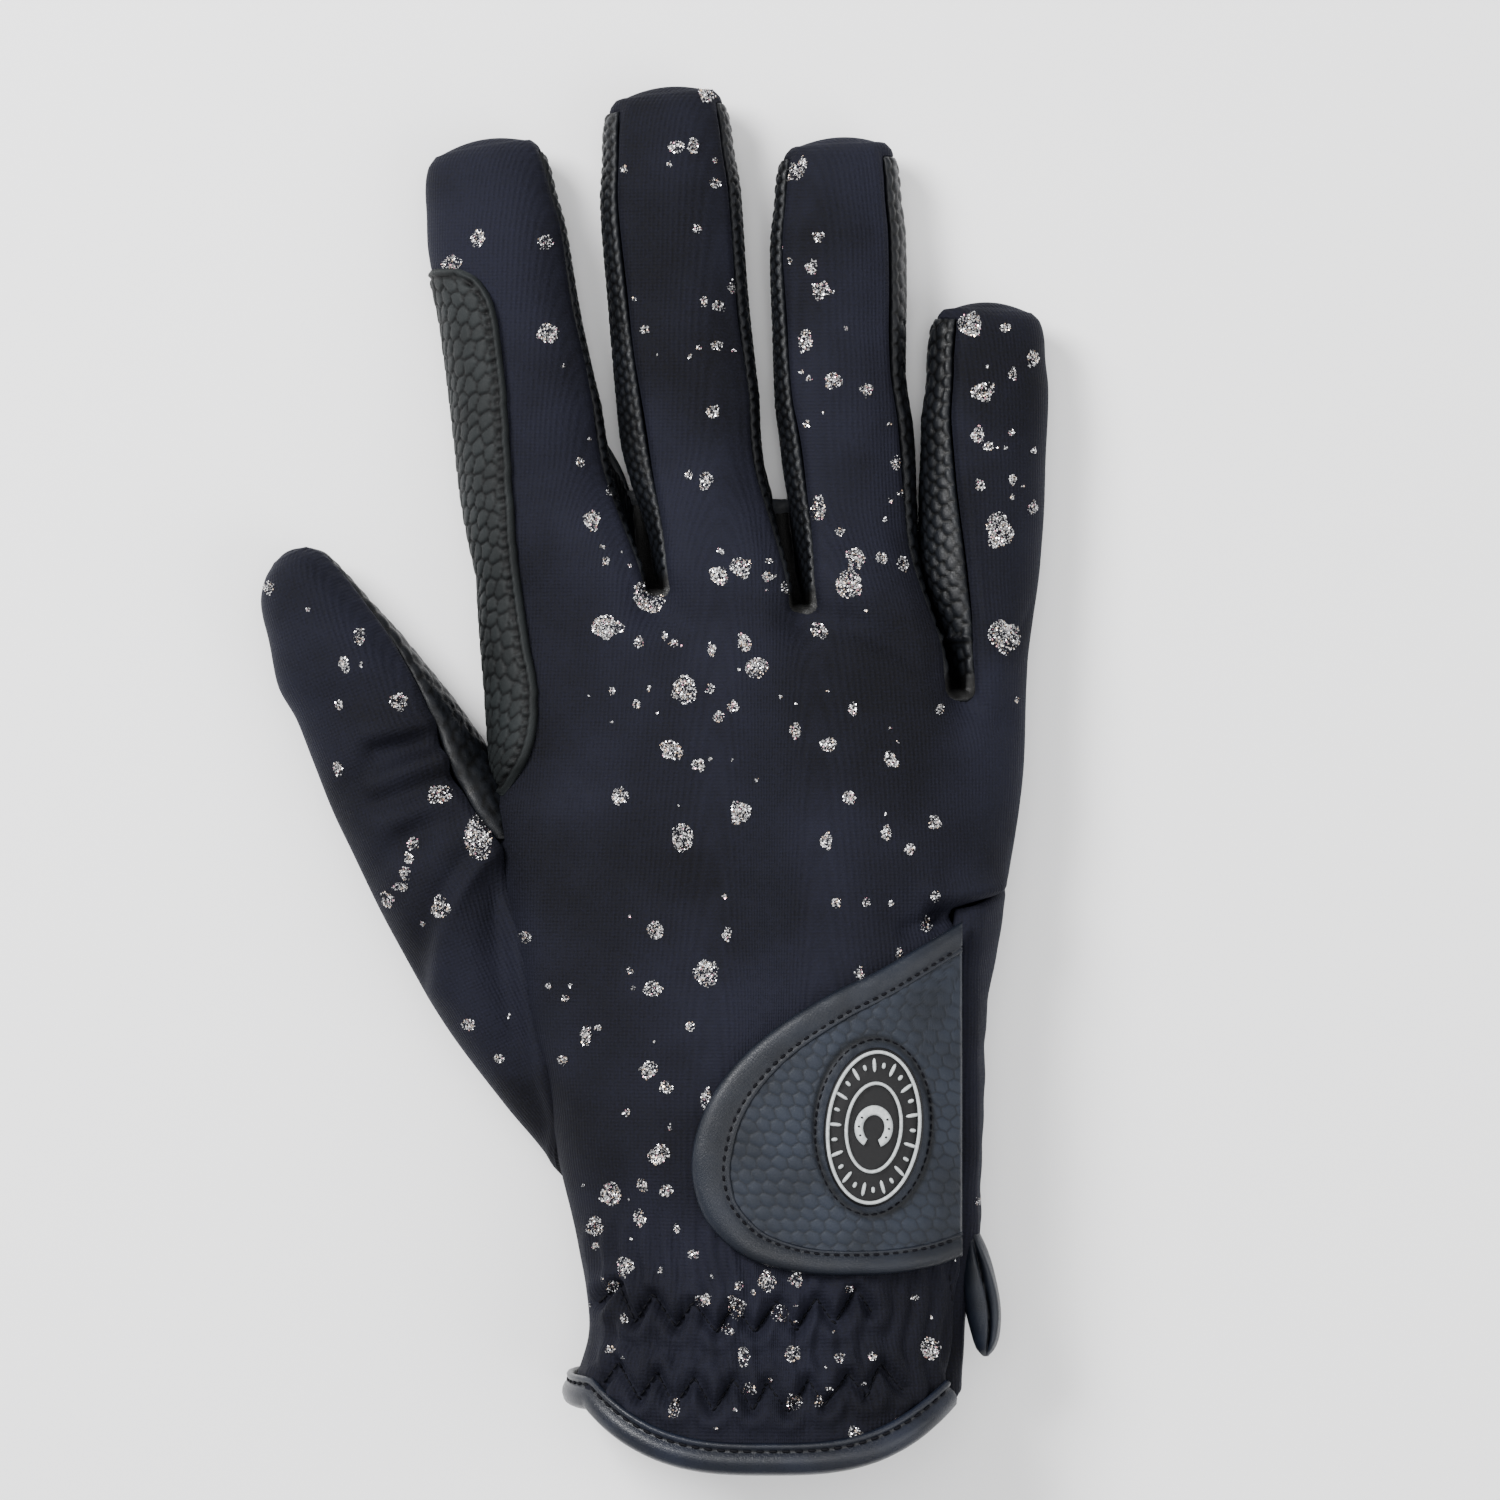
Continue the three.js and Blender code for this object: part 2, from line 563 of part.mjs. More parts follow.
// Closes a fingertip with a bulging grid between its back, palm and side rows.
function closeTip(cage, index, ring, walls) {
  const { ahead } = fingerAxis(FINGERS[index]);
  const forward = new THREE.Vector3(ahead.x, ahead.y, 0);
  const at = (k) => cage.points[k];
  const inner = walls.map((w, k) =>
    range(ACROSS - 1, 1).map((i) => {
      const u = i / ACROSS;
      const upright = at(ring.back[i]).clone().lerp(at(ring.palm[i]), w);
      const level = at(ring.left[k]).clone().lerp(at(ring.right[k]), u);
      const swell = TIP_BULGE * (1 - (2 * u - 1) ** 2) * (1 - (2 * w - 1) ** 2);
      return cage.point(upright.lerp(level, 0.5).addScaledVector(forward, swell));
    }),
  );
  const grid = [
    ring.back,
    ...inner.map((row, k) => [ring.left[k], ...row, ring.right[k]]),
    ring.palm,
  ];
  grid.slice(1).forEach((low, k) => cage.strip("back_panel", "tip", grid[k], low));
}

// A closed solid from flat triangles given as a list of positions.
function solidFrom(positions, triangles) {
  const flat = positions.flatMap((p) => [p.x, p.y, p.z]);
  const geometry = new THREE.BufferGeometry();
  geometry.setAttribute("position", new THREE.Float32BufferAttribute(flat, 3));
  geometry.setIndex(triangles);
  return solidOf(geometry);
}

function solidOf(geometry) {
  const bare = geometry.clone();
  bare.deleteAttribute("normal");
  bare.deleteAttribute("uv");
  const merged = mergeVertices(bare, 1e-4);
  return new wasm.Manifold(
    new wasm.Mesh({
      numProp: 3,
      vertProperties: merged.attributes.position.array,
      triVerts: new Uint32Array(merged.index.array),
    }),
  );
}

// The largest of the bodies that a cut leaves.
const mainBody = (solid) => solid.decompose().sort((a, b) => b.volume() - a.volume())[0];

// Quads as a plate between two distances from the cage's surface. Its open edges draw back by half of gap.
function plate(cage, normals, quads, outer, inner, gap = 0) {
  const used = [...new Set(quads.flatMap((q) => q.corners))];
  const place = new Map(used.map((k, i) => [k, i]));
  const sides = new Map();
  const middles = quads.map((q) =>
    q.corners.reduce((sum, k) => sum.add(cage.points[k]), new THREE.Vector3()).multiplyScalar(1 / 4),
  );
  quads.forEach((q, n) => {
    q.corners.forEach((a, i) => {
      const b = q.corners[(i + 1) % 4];
      if (sides.has(`${b},${a}`)) sides.delete(`${b},${a}`);
      else sides.set(`${a},${b}`, { a, b, n });
    });
  });
  const inward = new Map();
  const rim = new Set([...sides.values()].flatMap(({ a, b }) => [a, b]));
  quads.forEach((q, n) => {
    q.corners.forEach((k) => {
      if (!rim.has(k)) return;
      const pull = inward.get(k) ?? new THREE.Vector3();
      inward.set(k, pull.add(middles[n].clone().sub(cage.points[k]).normalize()));
    });
  });
  const drawnBack = (k) => {
    const point = cage.points[k].clone();
    if (!gap || !inward.has(k)) return point;
    const pull = inward.get(k).clone();
    pull.addScaledVector(normals[k], -pull.dot(normals[k]));
    return point.addScaledVector(pull.normalize(), gap / 2);
  };
  const positions = [outer, inner].flatMap((away) =>
    used.map((k) => drawnBack(k).addScaledVector(normals[k], away)),
  );
  const under = used.length;
  const triangles = [];
  quads.forEach(({ corners }) => {
    const [a, b, c, d] = corners.map((k) => place.get(k));
    triangles.push(a, b, c, a, c, d);
    triangles.push(under + a, under + c, under + b, under + a, under + d, under + c);
  });
  sides.forEach(({ a, b }) => {
    const [p, q] = [place.get(a), place.get(b)];
    triangles.push(p, under + p, q, q, under + p, under + q);
  });
  return solidFrom(positions, triangles);
}

// A solid between two closed rings or more, with flat ends. Each ring runs counter-clockwise seen from ahead.
function loft(rings) {
  const count = rings[0].length;
  const triangles = [];
  rings.slice(1).forEach((_, k) => {
    range(count).forEach((i) => {
      const j = (i + 1) % count;
      const [a, b] = [k * count + i, k * count + j];
      const [c, d] = [a + count, b + count];
      triangles.push(a, b, d, a, d, c);
    });
  });
  const last = (rings.length - 1) * count;
  const centres = [rings[0], rings.at(-1)].map((ring) =>
    ring.reduce((sum, p) => sum.add(p), new THREE.Vector3()).multiplyScalar(1 / count),
  );
  const hub = rings.length * count;
  range(count).forEach((i) => {
    const j = (i + 1) % count;
    triangles.push(hub, j, i, hub + 1, last + i, last + j);
  });
  return solidFrom([...rings.flat(), ...centres], triangles);
}

// A tall upright solid over a plan outline, standing on a level.
const TALL = 3 * HAND_THICKNESS;
function upright(outline, level = -HAND_THICKNESS) {
  const shape = new THREE.Shape(outline);
  const geometry = new THREE.ExtrudeGeometry(shape, { depth: TALL, bevelEnabled: false });
  geometry.translate(0, 0, level);
  return solidOf(geometry);
}

// A plan outline moved inwards by a distance; it runs counter-clockwise.
function inset(outline, distance) {
  return outline.map((point, k) => {
    const before = outline.at(k - 1);
    const after = outline[(k + 1) % outline.length];
    const [a, b] = [point.clone().sub(before).normalize(), after.clone().sub(point).normalize()];
    const bisector = new THREE.Vector2(-a.y - b.y, a.x + b.x).normalize();
    const lean = Math.max(bisector.dot(new THREE.Vector2(-a.y, a.x)), 0.5);
    return point.clone().addScaledVector(bisector, distance / lean);
  });
}

const oval = (centre, halfWidth, halfHeight, tilt, count) =>
  range(count).map((k) => {
    const angle = (2 * Math.PI * k) / count;
    const point = new THREE.Vector2(halfWidth * Math.cos(angle), halfHeight * Math.sin(angle));
    return point.rotateAround(new THREE.Vector2(), -radians(tilt)).add(centre);
  });

// The hand's panels
const cage = handCage();
const normals = cage.normals();
const panelQuads = (panel) => cage.quads.filter((q) => q.panel === panel);
const handWall = Math.max(FABRIC_WALL, LEATHER_WALL);
const panelSolid = (panel, wall, gap = SEAM_GAP) => plate(cage, normals, panelQuads(panel), 0, -wall, gap);

// The hand and fingers as one filled body, swollen by the lap gap, to trim the thumb against.
function filledHand(swell) {
  const positions = cage.points.map((p, k) => p.clone().addScaledVector(normals[k], swell));
  const triangles = cage.quads.flatMap(({ corners: [a, b, c, d] }) => [a, b, c, a, c, d]);
  const edges = new Map();
  cage.quads.forEach(({ corners }) => {
    corners.forEach((a, i) => {
      const b = corners[(i + 1) % 4];
      if (edges.has(`${b},${a}`)) edges.delete(`${b},${a}`);
      else edges.set(`${a},${b}`, [a, b]);
    });
  });
  const rim = [...edges.values()];
  const centre = rim.reduce((sum, [a]) => sum.add(positions[a]), new THREE.Vector3());
  positions.push(centre.multiplyScalar(1 / rim.length));
  rim.forEach(([a, b]) => triangles.push(b, a, positions.length - 1));
  return solidFrom(positions, triangles);
}

// The thumb: a point of its section at an angle, at a share of its length, moved in by a wall.
function thumbPoint(share, angle, wall) {
  const lean = radians(THUMB_LEAN);
  const ahead = new THREE.Vector2(-Math.sin(lean), Math.cos(lean));
  const aside = new THREE.Vector2(Math.cos(lean), Math.sin(lean));
  const outer = -THUMB_WIDTH * read(THUMB_SECTIONS, "outer", share);
  const inner = THUMB_WIDTH * read(THUMB_SECTIONS, "inner", share);
  const height = THUMB_THICKNESS * read(THUMB_SECTIONS, "height", share);
  const across = bulge(Math.cos(angle), THUMB_ROUNDNESS);
  const upper = Math.sin(angle) > 0;
  const fold = THUMB_FOLDS.reduce((sum, row) => {
    const off = (share - row.along - (row.slant * (1 - across)) / 2) / row.width;
    return sum + THUMB_FOLD_DEPTH * row.depth * Math.exp(-off * off);
  }, 0);
  const lift = ((THUMB_THICKNESS - height) / 2) * smooth((share - 0.8) / 0.2);
  const middle = lift + WIDEST_SHARE * height;
  const sunk = upper ? fold * Math.sin(angle) : 0;
  const level = lift + heightAt(across, height, THUMB_ROUNDNESS, upper) - sunk;
  const squeeze = (value, about, room) => about + (value - about) * Math.max(1 - wall / room, 0.1);
  const centre = (outer + inner) / 2;
  const half = (inner - outer) / 2;
  const sideways = squeeze(centre + across * half, centre, half);
  const along = squeeze(share, 0.5, THUMB_LENGTH / 2) * THUMB_LENGTH;
  const plan = new THREE.Vector2(HAND_HALF_WIDTH * THUMB_ROOT.x, HAND_LENGTH * THUMB_ROOT.y)
    .addScaledVector(ahead, along)
    .addScaledVector(aside, sideways);
  return new THREE.Vector3(plan.x, plan.y, squeeze(level, middle, WIDEST_SHARE * height));
}

// The thumb's stations, closer together towards the tip.
const thumbShares = range(THUMB_STATIONS + 1).map((k) => 1 - (1 - k / THUMB_STATIONS) ** THUMB_CROWDING);
const thumbRing = (share, wall) =>
  range(THUMB_SIDES).map((k) => thumbPoint(share, (2 * Math.PI * k) / THUMB_SIDES, wall));

// A wedge round the thumb's axis between two angles, to part its fabric back from its leather.
function thumbWedge(from, to, gap) {
  const rings = [-WEDGE_OVERRUN, 1 + WEDGE_OVERRUN].map((share) => {
    const lean = radians(THUMB_LEAN);
    const base = new THREE.Vector3(HAND_HALF_WIDTH * THUMB_ROOT.x, HAND_LENGTH * THUMB_ROOT.y, 0);
    base.x -= Math.sin(lean) * share * THUMB_LENGTH;
    base.y += Math.cos(lean) * share * THUMB_LENGTH;
    base.z = WIDEST_SHARE * THUMB_THICKNESS;
    const spoke = (angle, reach) =>
      new THREE.Vector3(Math.cos(lean), Math.sin(lean), 0)
        .multiplyScalar(Math.cos(angle) * reach)
        .add(new THREE.Vector3(0, 0, Math.sin(angle) * reach))
        .add(base);
    const middle = (from + to) / 2;
    const start = spoke(middle, gap);
    const fan = range(WEDGE_SPOKES + 1).map((k) => spoke(lerp(from, to, k / WEDGE_SPOKES), WEDGE_REACH));
    return [start, ...fan].reverse();
  });
  return loft(rings);
}

const handCore = filledHand(LAP_GAP);
const thumbOuter = loft(thumbShares.map((share) => thumbRing(share, 0).reverse()));
const thumbInner = loft(thumbShares.map((share) => thumbRing(share, FABRIC_WALL).reverse()));
const backWedge = thumbWedge(radians(THUMB_BACK_START), radians(THUMB_BACK_END), SEAM_GAP / 2);
const backWedgeGrown = thumbWedge(radians(THUMB_BACK_START), radians(THUMB_BACK_END), -SEAM_GAP / 2);
const thumbShell = thumbOuter.subtract(thumbInner).subtract(handCore);

// A piece laid over the hand: its quads between two heights above the surface, trimmed to a plan outline.
function overHand(quads, from, to, outline) {
  return mainBody(plate(cage, normals, quads, to, from).intersect(outline));
}

// The outer edge of the hand and the index finger at a distance y from the hem.
function thumbSideEdge(y) {
  const { root, ahead } = fingerAxis(FINGERS[0]);
  const share = (y - root.y) / (ahead.y * FINGERS[0].length);
  return share < 0 ? handSection(y).left : fingerSurface(0, share, -1, true).x;
}

// The leather lapped round the outer side of the index finger, or the room that it takes with a clearance.
function indexWrap(clearance) {
  const start = HAND_LENGTH * WRAP_START;
  const edge = WRAP_EDGE.map(({ along, across }) => {
    const y = start + along * WRAP_LENGTH;
    return new THREE.Vector2(thumbSideEdge(y) + across * WRAP_WIDTH, y);
  });
  const beyond = -HAND_HALF_WIDTH * 2;
  const outline = [...edge, new THREE.Vector2(beyond, edge.at(-1).y), new THREE.Vector2(beyond, start)];
  const lapped = cage.quads.filter(
    ({ tag, corners }) =>
      ["hand", "thumb_side", "index_back", "index_left"].includes(tag) &&
      corners.every((k) => cage.points[k].x < thumbSideEdge(cage.points[k].y) + WRAP_SEARCH) &&
      corners.some((k) => cage.points[k].y > start - WRAP_WIDTH),
  );
  const top = LAP_GAP + LEATHER_WALL + clearance;
  const reach = upright(inset(outline, -clearance), WRAP_FLOOR - clearance);
  return overHand(lapped, LAP_GAP - clearance, top, reach);
}

// The tab's outline in plan, counter-clockwise.
function tabOutline() {
  const foot = new THREE.Vector2(HAND_HALF_WIDTH * TAB_FOOT.x, HAND_LENGTH * TAB_FOOT.y);
  return TAB_OUTLINE.map(
    ({ along, across }) => new THREE.Vector2(foot.x - along * TAB_LENGTH, foot.y + across * TAB_WIDTH),
  );
}

function badgeCentre() {
  return new THREE.Vector2(
    HAND_HALF_WIDTH * TAB_FOOT.x - BADGE_PLACE.along * TAB_LENGTH,
    HAND_LENGTH * TAB_FOOT.y + BADGE_PLACE.across * TAB_WIDTH,
  );
}

const tabQuads = cage.quads.filter(
  ({ tag, corners }) =>
    tag === "hand" &&
    corners.some((k) => cage.points[k].y < HAND_LENGTH * TAB_FOOT.y + TAB_WIDTH) &&
    corners.some((k) => cage.points[k].x > HAND_HALF_WIDTH * TAB_FOOT.x - TAB_LENGTH),
);
const tabTop = LAP_GAP + TAB_WALL;

// The tab's embossed leather and the folded strip round its edge.
function closureTab() {
  const field = upright(inset(tabOutline(), TAB_BINDING_WIDTH + SEAM_GAP));
  return overHand(tabQuads, LAP_GAP, tabTop, field);
}

function closureBinding() {
  const ring = upright(tabOutline()).subtract(upright(inset(tabOutline(), TAB_BINDING_WIDTH)));
  return overHand(tabQuads, LAP_GAP, tabTop + TAB_BINDING_RISE, ring);
}

// The badge: a rubber oval on the tab, with a raised outer rim, a raised inner rim and a raised horseshoe.
const badgeOval = (halfWidth, halfHeight) =>
  upright(oval(badgeCentre(), halfWidth, halfHeight, BADGE_TILT, BADGE_SIDES));
const badgeTop = tabTop + LAP_GAP + BADGE_WALL;
const badgeRelief = (outline) =>
  overHand(tabQuads, badgeTop + LAP_GAP, badgeTop + LAP_GAP + BADGE_RELIEF, outline);

function badgeBase() {
  return overHand(tabQuads, tabTop + LAP_GAP, badgeTop, badgeOval(BADGE_HALF_WIDTH, BADGE_HALF_HEIGHT));
}

function badgeRim(halfWidth, halfHeight) {
  const hole = badgeOval(halfWidth - BADGE_RIM, halfHeight - BADGE_RIM);
  return badgeRelief(badgeOval(halfWidth, halfHeight).subtract(hole));
}

function badgeEmblem() {
  const arc = (radius) =>
    range(EMBLEM_STEPS + 1).map((k) => {
      const angle = radians(lerp(EMBLEM_START, EMBLEM_END, k / EMBLEM_STEPS));
      return new THREE.Vector2(radius * Math.cos(angle), EMBLEM_STRETCH * radius * Math.sin(angle));
    });
  const horseshoe = [...arc(EMBLEM_RADIUS), ...arc(EMBLEM_RADIUS - EMBLEM_STROKE).reverse()];
  const placed = horseshoe.map((p) =>
    p.rotateAround(new THREE.Vector2(), -radians(BADGE_TILT)).add(badgeCentre()),
  );
  return badgeRelief(upright(placed));
}

// The leather strip folded over the wrist opening's edge, from the slit round to the little-finger strip.
function hemBinding() {
  const out = LAP_GAP + BINDING_WALL;
  const inside = -handWall - LAP_GAP;
  const section = [
    [inside - BINDING_WALL, -HEM_BINDING_WIDTH],
    [inside - BINDING_WALL, 0],
    [inside + out / 2, out],
    [out / 2, out],
    [out, 0],
    [out, -HEM_BINDING_WIDTH],
  ];
  const rings = cage.hem.map((k, i) => {
    const before = cage.points[cage.hem[Math.max(i - 1, 0)]];
    const after = cage.points[cage.hem[Math.min(i + 1, cage.hem.length - 1)]];
    const around = after.clone().sub(before).normalize();
    const away = normals[k].clone().addScaledVector(around, -normals[k].dot(around)).normalize();
    const past = away.clone().cross(around);
    return section.map(([a, b]) => {
      const point = cage.points[k].clone().addScaledVector(away, a).addScaledVector(past, b);
      return point.setZ(Math.max(point.z, 0));
    });
  });
  const hemQuads = cage.quads.filter(({ corners }) => corners.some((k) => cage.hemRow.has(k)));
  const channel = plate(cage, normals, hemQuads, LAP_GAP, inside, -2 * LAP_GAP);
  return mainBody(loft(rings).subtract(channel));
}

// The folded leather loop that hangs at the slit's foot.
function ventLoop() {
  const x = HAND_HALF_WIDTH * LOOP_PLACE.x;
  const y = HAND_LENGTH * LOOP_PLACE.y;
  const z = HAND_THICKNESS * LOOP_PLACE.z;
  const rings = LOOP_SECTIONS.map((row) =>
    range(LOOP_SIDES).map((k) => {
      const angle = (2 * Math.PI * k) / LOOP_SIDES;
      return new THREE.Vector3(
        x + (LOOP_THICKNESS / 2) * row.width * Math.cos(angle),
        y - row.along * LOOP_LENGTH,
        z + (LOOP_HEIGHT / 2) * row.height * Math.sin(angle),
      );
    }),
  );
  return mainBody(loft(rings).subtract(handCore));
}

const thumbClear = thumbShell.subtract(indexWrap(LAP_GAP));
const thumbBack = mainBody(thumbClear.intersect(backWedge));
const thumbPalm = mainBody(thumbClear.subtract(backWedgeGrown));

// Materials
const finish = (color, roughness) => new THREE.MeshStandardMaterial({ color, roughness, metalness: 0 });
const navyKnit = finish(0x20212c, 0.85);
const scaledLeather = finish(0x2b3135, 0.6);
const plainLeather = finish(0x262b31, 0.65);
const slateLeather = finish(0x333d47, 0.5);
const bindingLeather = finish(0x303943, 0.4);
const blackRubber = finish(0x121315, 0.5);
const greyPrint = finish(0xb9bcbc, 0.6);

// A named mesh from a solid.
function piece(name, solid, material) {
  const { vertProperties, triVerts } = solid.getMesh();
  const geometry = new THREE.BufferGeometry();
  geometry.setAttribute("position", new THREE.Float32BufferAttribute(vertProperties, 3));
  geometry.setIndex([...triVerts]);
  geometry.computeVertexNormals();
  const mesh = new THREE.Mesh(geometry, material);
  mesh.name = name;
  return mesh;
}

const glove = new THREE.Group();
glove.add(
  piece("back_panel", panelSolid("back_panel", FABRIC_WALL).subtract(thumbInner), navyKnit),
  piece("palm_panel", panelSolid("palm_panel", LEATHER_WALL).subtract(thumbInner), plainLeather),
  piece("vent_strip", panelSolid("vent_strip", FABRIC_WALL), navyKnit),
  piece("thumb_back", thumbBack, navyKnit),
  piece("thumb_palm", thumbPalm, plainLeather),
  piece("index_wrap", indexWrap(0), scaledLeather),
  piece("hem_binding", hemBinding(), bindingLeather),
  piece("closure_tab", closureTab(), slateLeather),
  piece("closure_binding", closureBinding(), bindingLeather),
  piece("badge_base", badgeBase(), blackRubber),
  piece("badge_outer_ring", badgeRim(BADGE_HALF_WIDTH, BADGE_HALF_HEIGHT), greyPrint),
  piece("badge_inner_ring", badgeRim(BADGE_FIELD_HALF_WIDTH, BADGE_FIELD_HALF_HEIGHT), greyPrint),
  piece("badge_emblem", badgeEmblem(), greyPrint),
  piece("vent_loop", ventLoop(), bindingLeather),
);
FINGERS.slice(1).forEach((finger, f) => {
  const name = `fourchette_${FINGERS[f].name}_${finger.name}`;
  glove.add(piece(name, panelSolid(name, LEATHER_WALL), plainLeather));
});

// The origin is under the middle of the glove, on the surface that it lies on.
const box = new THREE.Box3().setFromObject(glove);
const middle = box.getCenter(new THREE.Vector3());
glove.position.set(-middle.x, -middle.y, -box.min.z);

export default glove;
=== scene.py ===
"""Looks for a horse riding glove: knit back, scaled leather, wrist tab, badge, stitches and glitter.

Lengths are in millimetres in the glove's own frame (hem's middle at the origin, +Y to the fingertips)
until make() turns them into metres in the row frame.
"""

import math

import bpy
import numpy as np
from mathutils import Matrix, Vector
from mathutils.bvhtree import BVHTree
from mathutils.kdtree import KDTree


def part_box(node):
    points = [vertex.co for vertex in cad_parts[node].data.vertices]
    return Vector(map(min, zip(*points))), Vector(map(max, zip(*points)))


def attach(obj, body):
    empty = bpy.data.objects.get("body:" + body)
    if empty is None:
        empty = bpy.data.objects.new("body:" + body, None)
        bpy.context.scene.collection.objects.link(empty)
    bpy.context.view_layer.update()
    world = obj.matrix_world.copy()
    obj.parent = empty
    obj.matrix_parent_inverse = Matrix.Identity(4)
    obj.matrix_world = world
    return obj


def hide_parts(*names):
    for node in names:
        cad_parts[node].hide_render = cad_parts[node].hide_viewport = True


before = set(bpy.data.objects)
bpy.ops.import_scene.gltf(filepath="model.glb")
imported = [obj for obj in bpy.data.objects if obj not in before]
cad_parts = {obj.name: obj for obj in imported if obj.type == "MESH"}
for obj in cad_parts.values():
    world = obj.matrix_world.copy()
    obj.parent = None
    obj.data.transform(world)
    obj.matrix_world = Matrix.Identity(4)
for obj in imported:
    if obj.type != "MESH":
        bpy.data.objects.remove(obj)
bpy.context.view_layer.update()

# Sizes shared with the solids
FABRIC_WALL = 1.4
LEATHER_WALL = 1.5
SEAM_GAP = 0.3
LAP_GAP = 0.3
FINGER_GAP = 2.2
HAND_LENGTH = 150
HAND_HALF_WIDTH = 46
HAND_THICKNESS = 29
HAND_ROUNDNESS = 2.6
HEM_SAG = 11.5
PALM_HEM_RISE = 6
BACK_HEM_RISE = 1.2
HEM_CURVE = 3.0
CROTCH_DIP = 3.5
CROTCH_SPREAD = 4
CROTCH_REACH = 7
CROTCH_WEB = 2.6
DIP_FLOOR = 0.2
FINGER_WIDTH = 23.8
FINGER_THICKNESS = 17.5
FINGER_ROUNDNESS = 2.35
TIP_BULGE = 1.6
THUMB_LENGTH = 120
THUMB_WIDTH = 27
THUMB_THICKNESS = 21
THUMB_ROUNDNESS = 2.2
THUMB_LEAN = 23.4
THUMB_FOLD_DEPTH = 1.3
VENT_LENGTH = 84
BINDING_WALL = 1.1
BINDING_CLEARANCE = 0.2
HEM_BINDING_WIDTH = 4.2
HEM_LIFT_REACH = 26
LOOP_LENGTH = 21
LOOP_HEIGHT = 7
LOOP_THICKNESS = 5.2
TAB_LENGTH = 46
TAB_WIDTH = 59.5
TAB_WALL = 1.5
BADGE_HALF_WIDTH = 8.4
BADGE_HALF_HEIGHT = 13.4
BADGE_TILT = 5
BADGE_WALL = 1.2
BADGE_RELIEF = 0.5
BADGE_FIELD_HALF_WIDTH = 4.95
BADGE_SHIFT = (-0.3, 1.0)
BADGE_FIELD_HALF_HEIGHT = 7.8
EMBLEM_RADIUS = 3.3
EMBLEM_STROKE = 1.5
WRAP_LENGTH = 91
WRAP_WIDTH = 8.4
WRAP_FLOOR = 1.2
WRAP_START = 0.775
WIDEST_SHARE = 0.42
UNDERSIDE_SHARE = 1.25
PALM_SEAM = 0.78
THUMB_SIDE_SEAM = 0.9
ROOT_BLEND = 0.3
WALL_END = 0.975
THUMB_ROOT = (-0.724, 0.322)
THUMB_BACK_END = 205
TAB_FOOT = (0.72, 0.235)
BADGE_PLACE = (0.325, 0.402)
LOOP_PLACE = (0.812, 0.274, 0.68)

# The photograph: its scale, and the pixel of the hem's middle
PHOTO_SCALE = 5.8
PHOTO_MIDDLE = 768
PHOTO_HEM = 1470
PHOTO_SIZE = 1500


def table(names, *rows):
    """Rows of numbers as named columns."""
    return dict(zip(names.split(), np.array(rows, float).T))


HAND_SECTIONS = table(
    "along left right height slit",
    (0.0, 0.745, 0.745, 1.27, 0.92),
    (0.09, 0.735, 0.725, 1.26, 0.93),
    (0.155, 0.675, 0.735, 1.2, 0.94),
    (0.21, 0.68, 0.755, 1.16, 0.935),
    (0.26, 0.712, 0.79, 1.15, 0.925),
    (0.33, 0.768, 0.8, 1.15, 0.91),
    (0.43, 0.825, 0.81, 1.14, 0.9),
    (0.54, 0.925, 0.825, 1.1, 0.87),
    (0.62, 0.975, 0.875, 1.05, 0.83),
    (0.7, 1.01, 0.912, 1.01, 0.84),
    (0.8, 1.045, 0.96, 0.96, 0.87),
    (0.9, 1.07, 0.975, 0.9, 0.9),
    (1.0, 1.095, 0.975, 0.84, 0.9),
    (1.15, 1.11, 0.975, 0.78, 0.9),
)
# The edges between the fingers; the two outer ones lie on the hand's own outline.
ROOTS = {
    "back_x": (None, -0.415, 0.13, 0.72, None),
    "back_y": (1.0, 1.012, 0.994, 0.897, 0.9),
    "palm_x": (None, -0.49, 0.05, 0.56, None),
    "palm_y": (1.07, 1.13, 1.12, 1.07, 0.98),
}
FINGERS = [
    {"name": "index", "length": 79.5, "x": -0.772, "y": 1.0, "lean": 10.0, "bow": 0.03, "width": 1.02,
     "flare": 0.4, "seam_left": (0.93, 0.93), "seam_right": (0.93, 0.96)},
    {"name": "middle", "length": 88, "x": -0.203, "y": 1.0, "lean": 5.6, "bow": 0.05, "width": 1.03,
     "flare": 0.06, "seam_left": (0.6, 0.8), "seam_right": (0.93, 0.88)},
    {"name": "ring", "length": 82, "x": 0.347, "y": 0.98, "lean": 2.7, "bow": 0.05, "width": 0.99,
     "flare": 0.05, "seam_left": (0.68, 0.88), "seam_right": (0.9, 0.8)},
    {"name": "little", "length": 64.5, "x": 0.76, "y": 0.905, "lean": -2.8, "bow": -0.02, "width": 0.92,
     "flare": 0.0, "seam_left": (0.02, 0.62), "seam_right": (0.93, 0.93)},
]

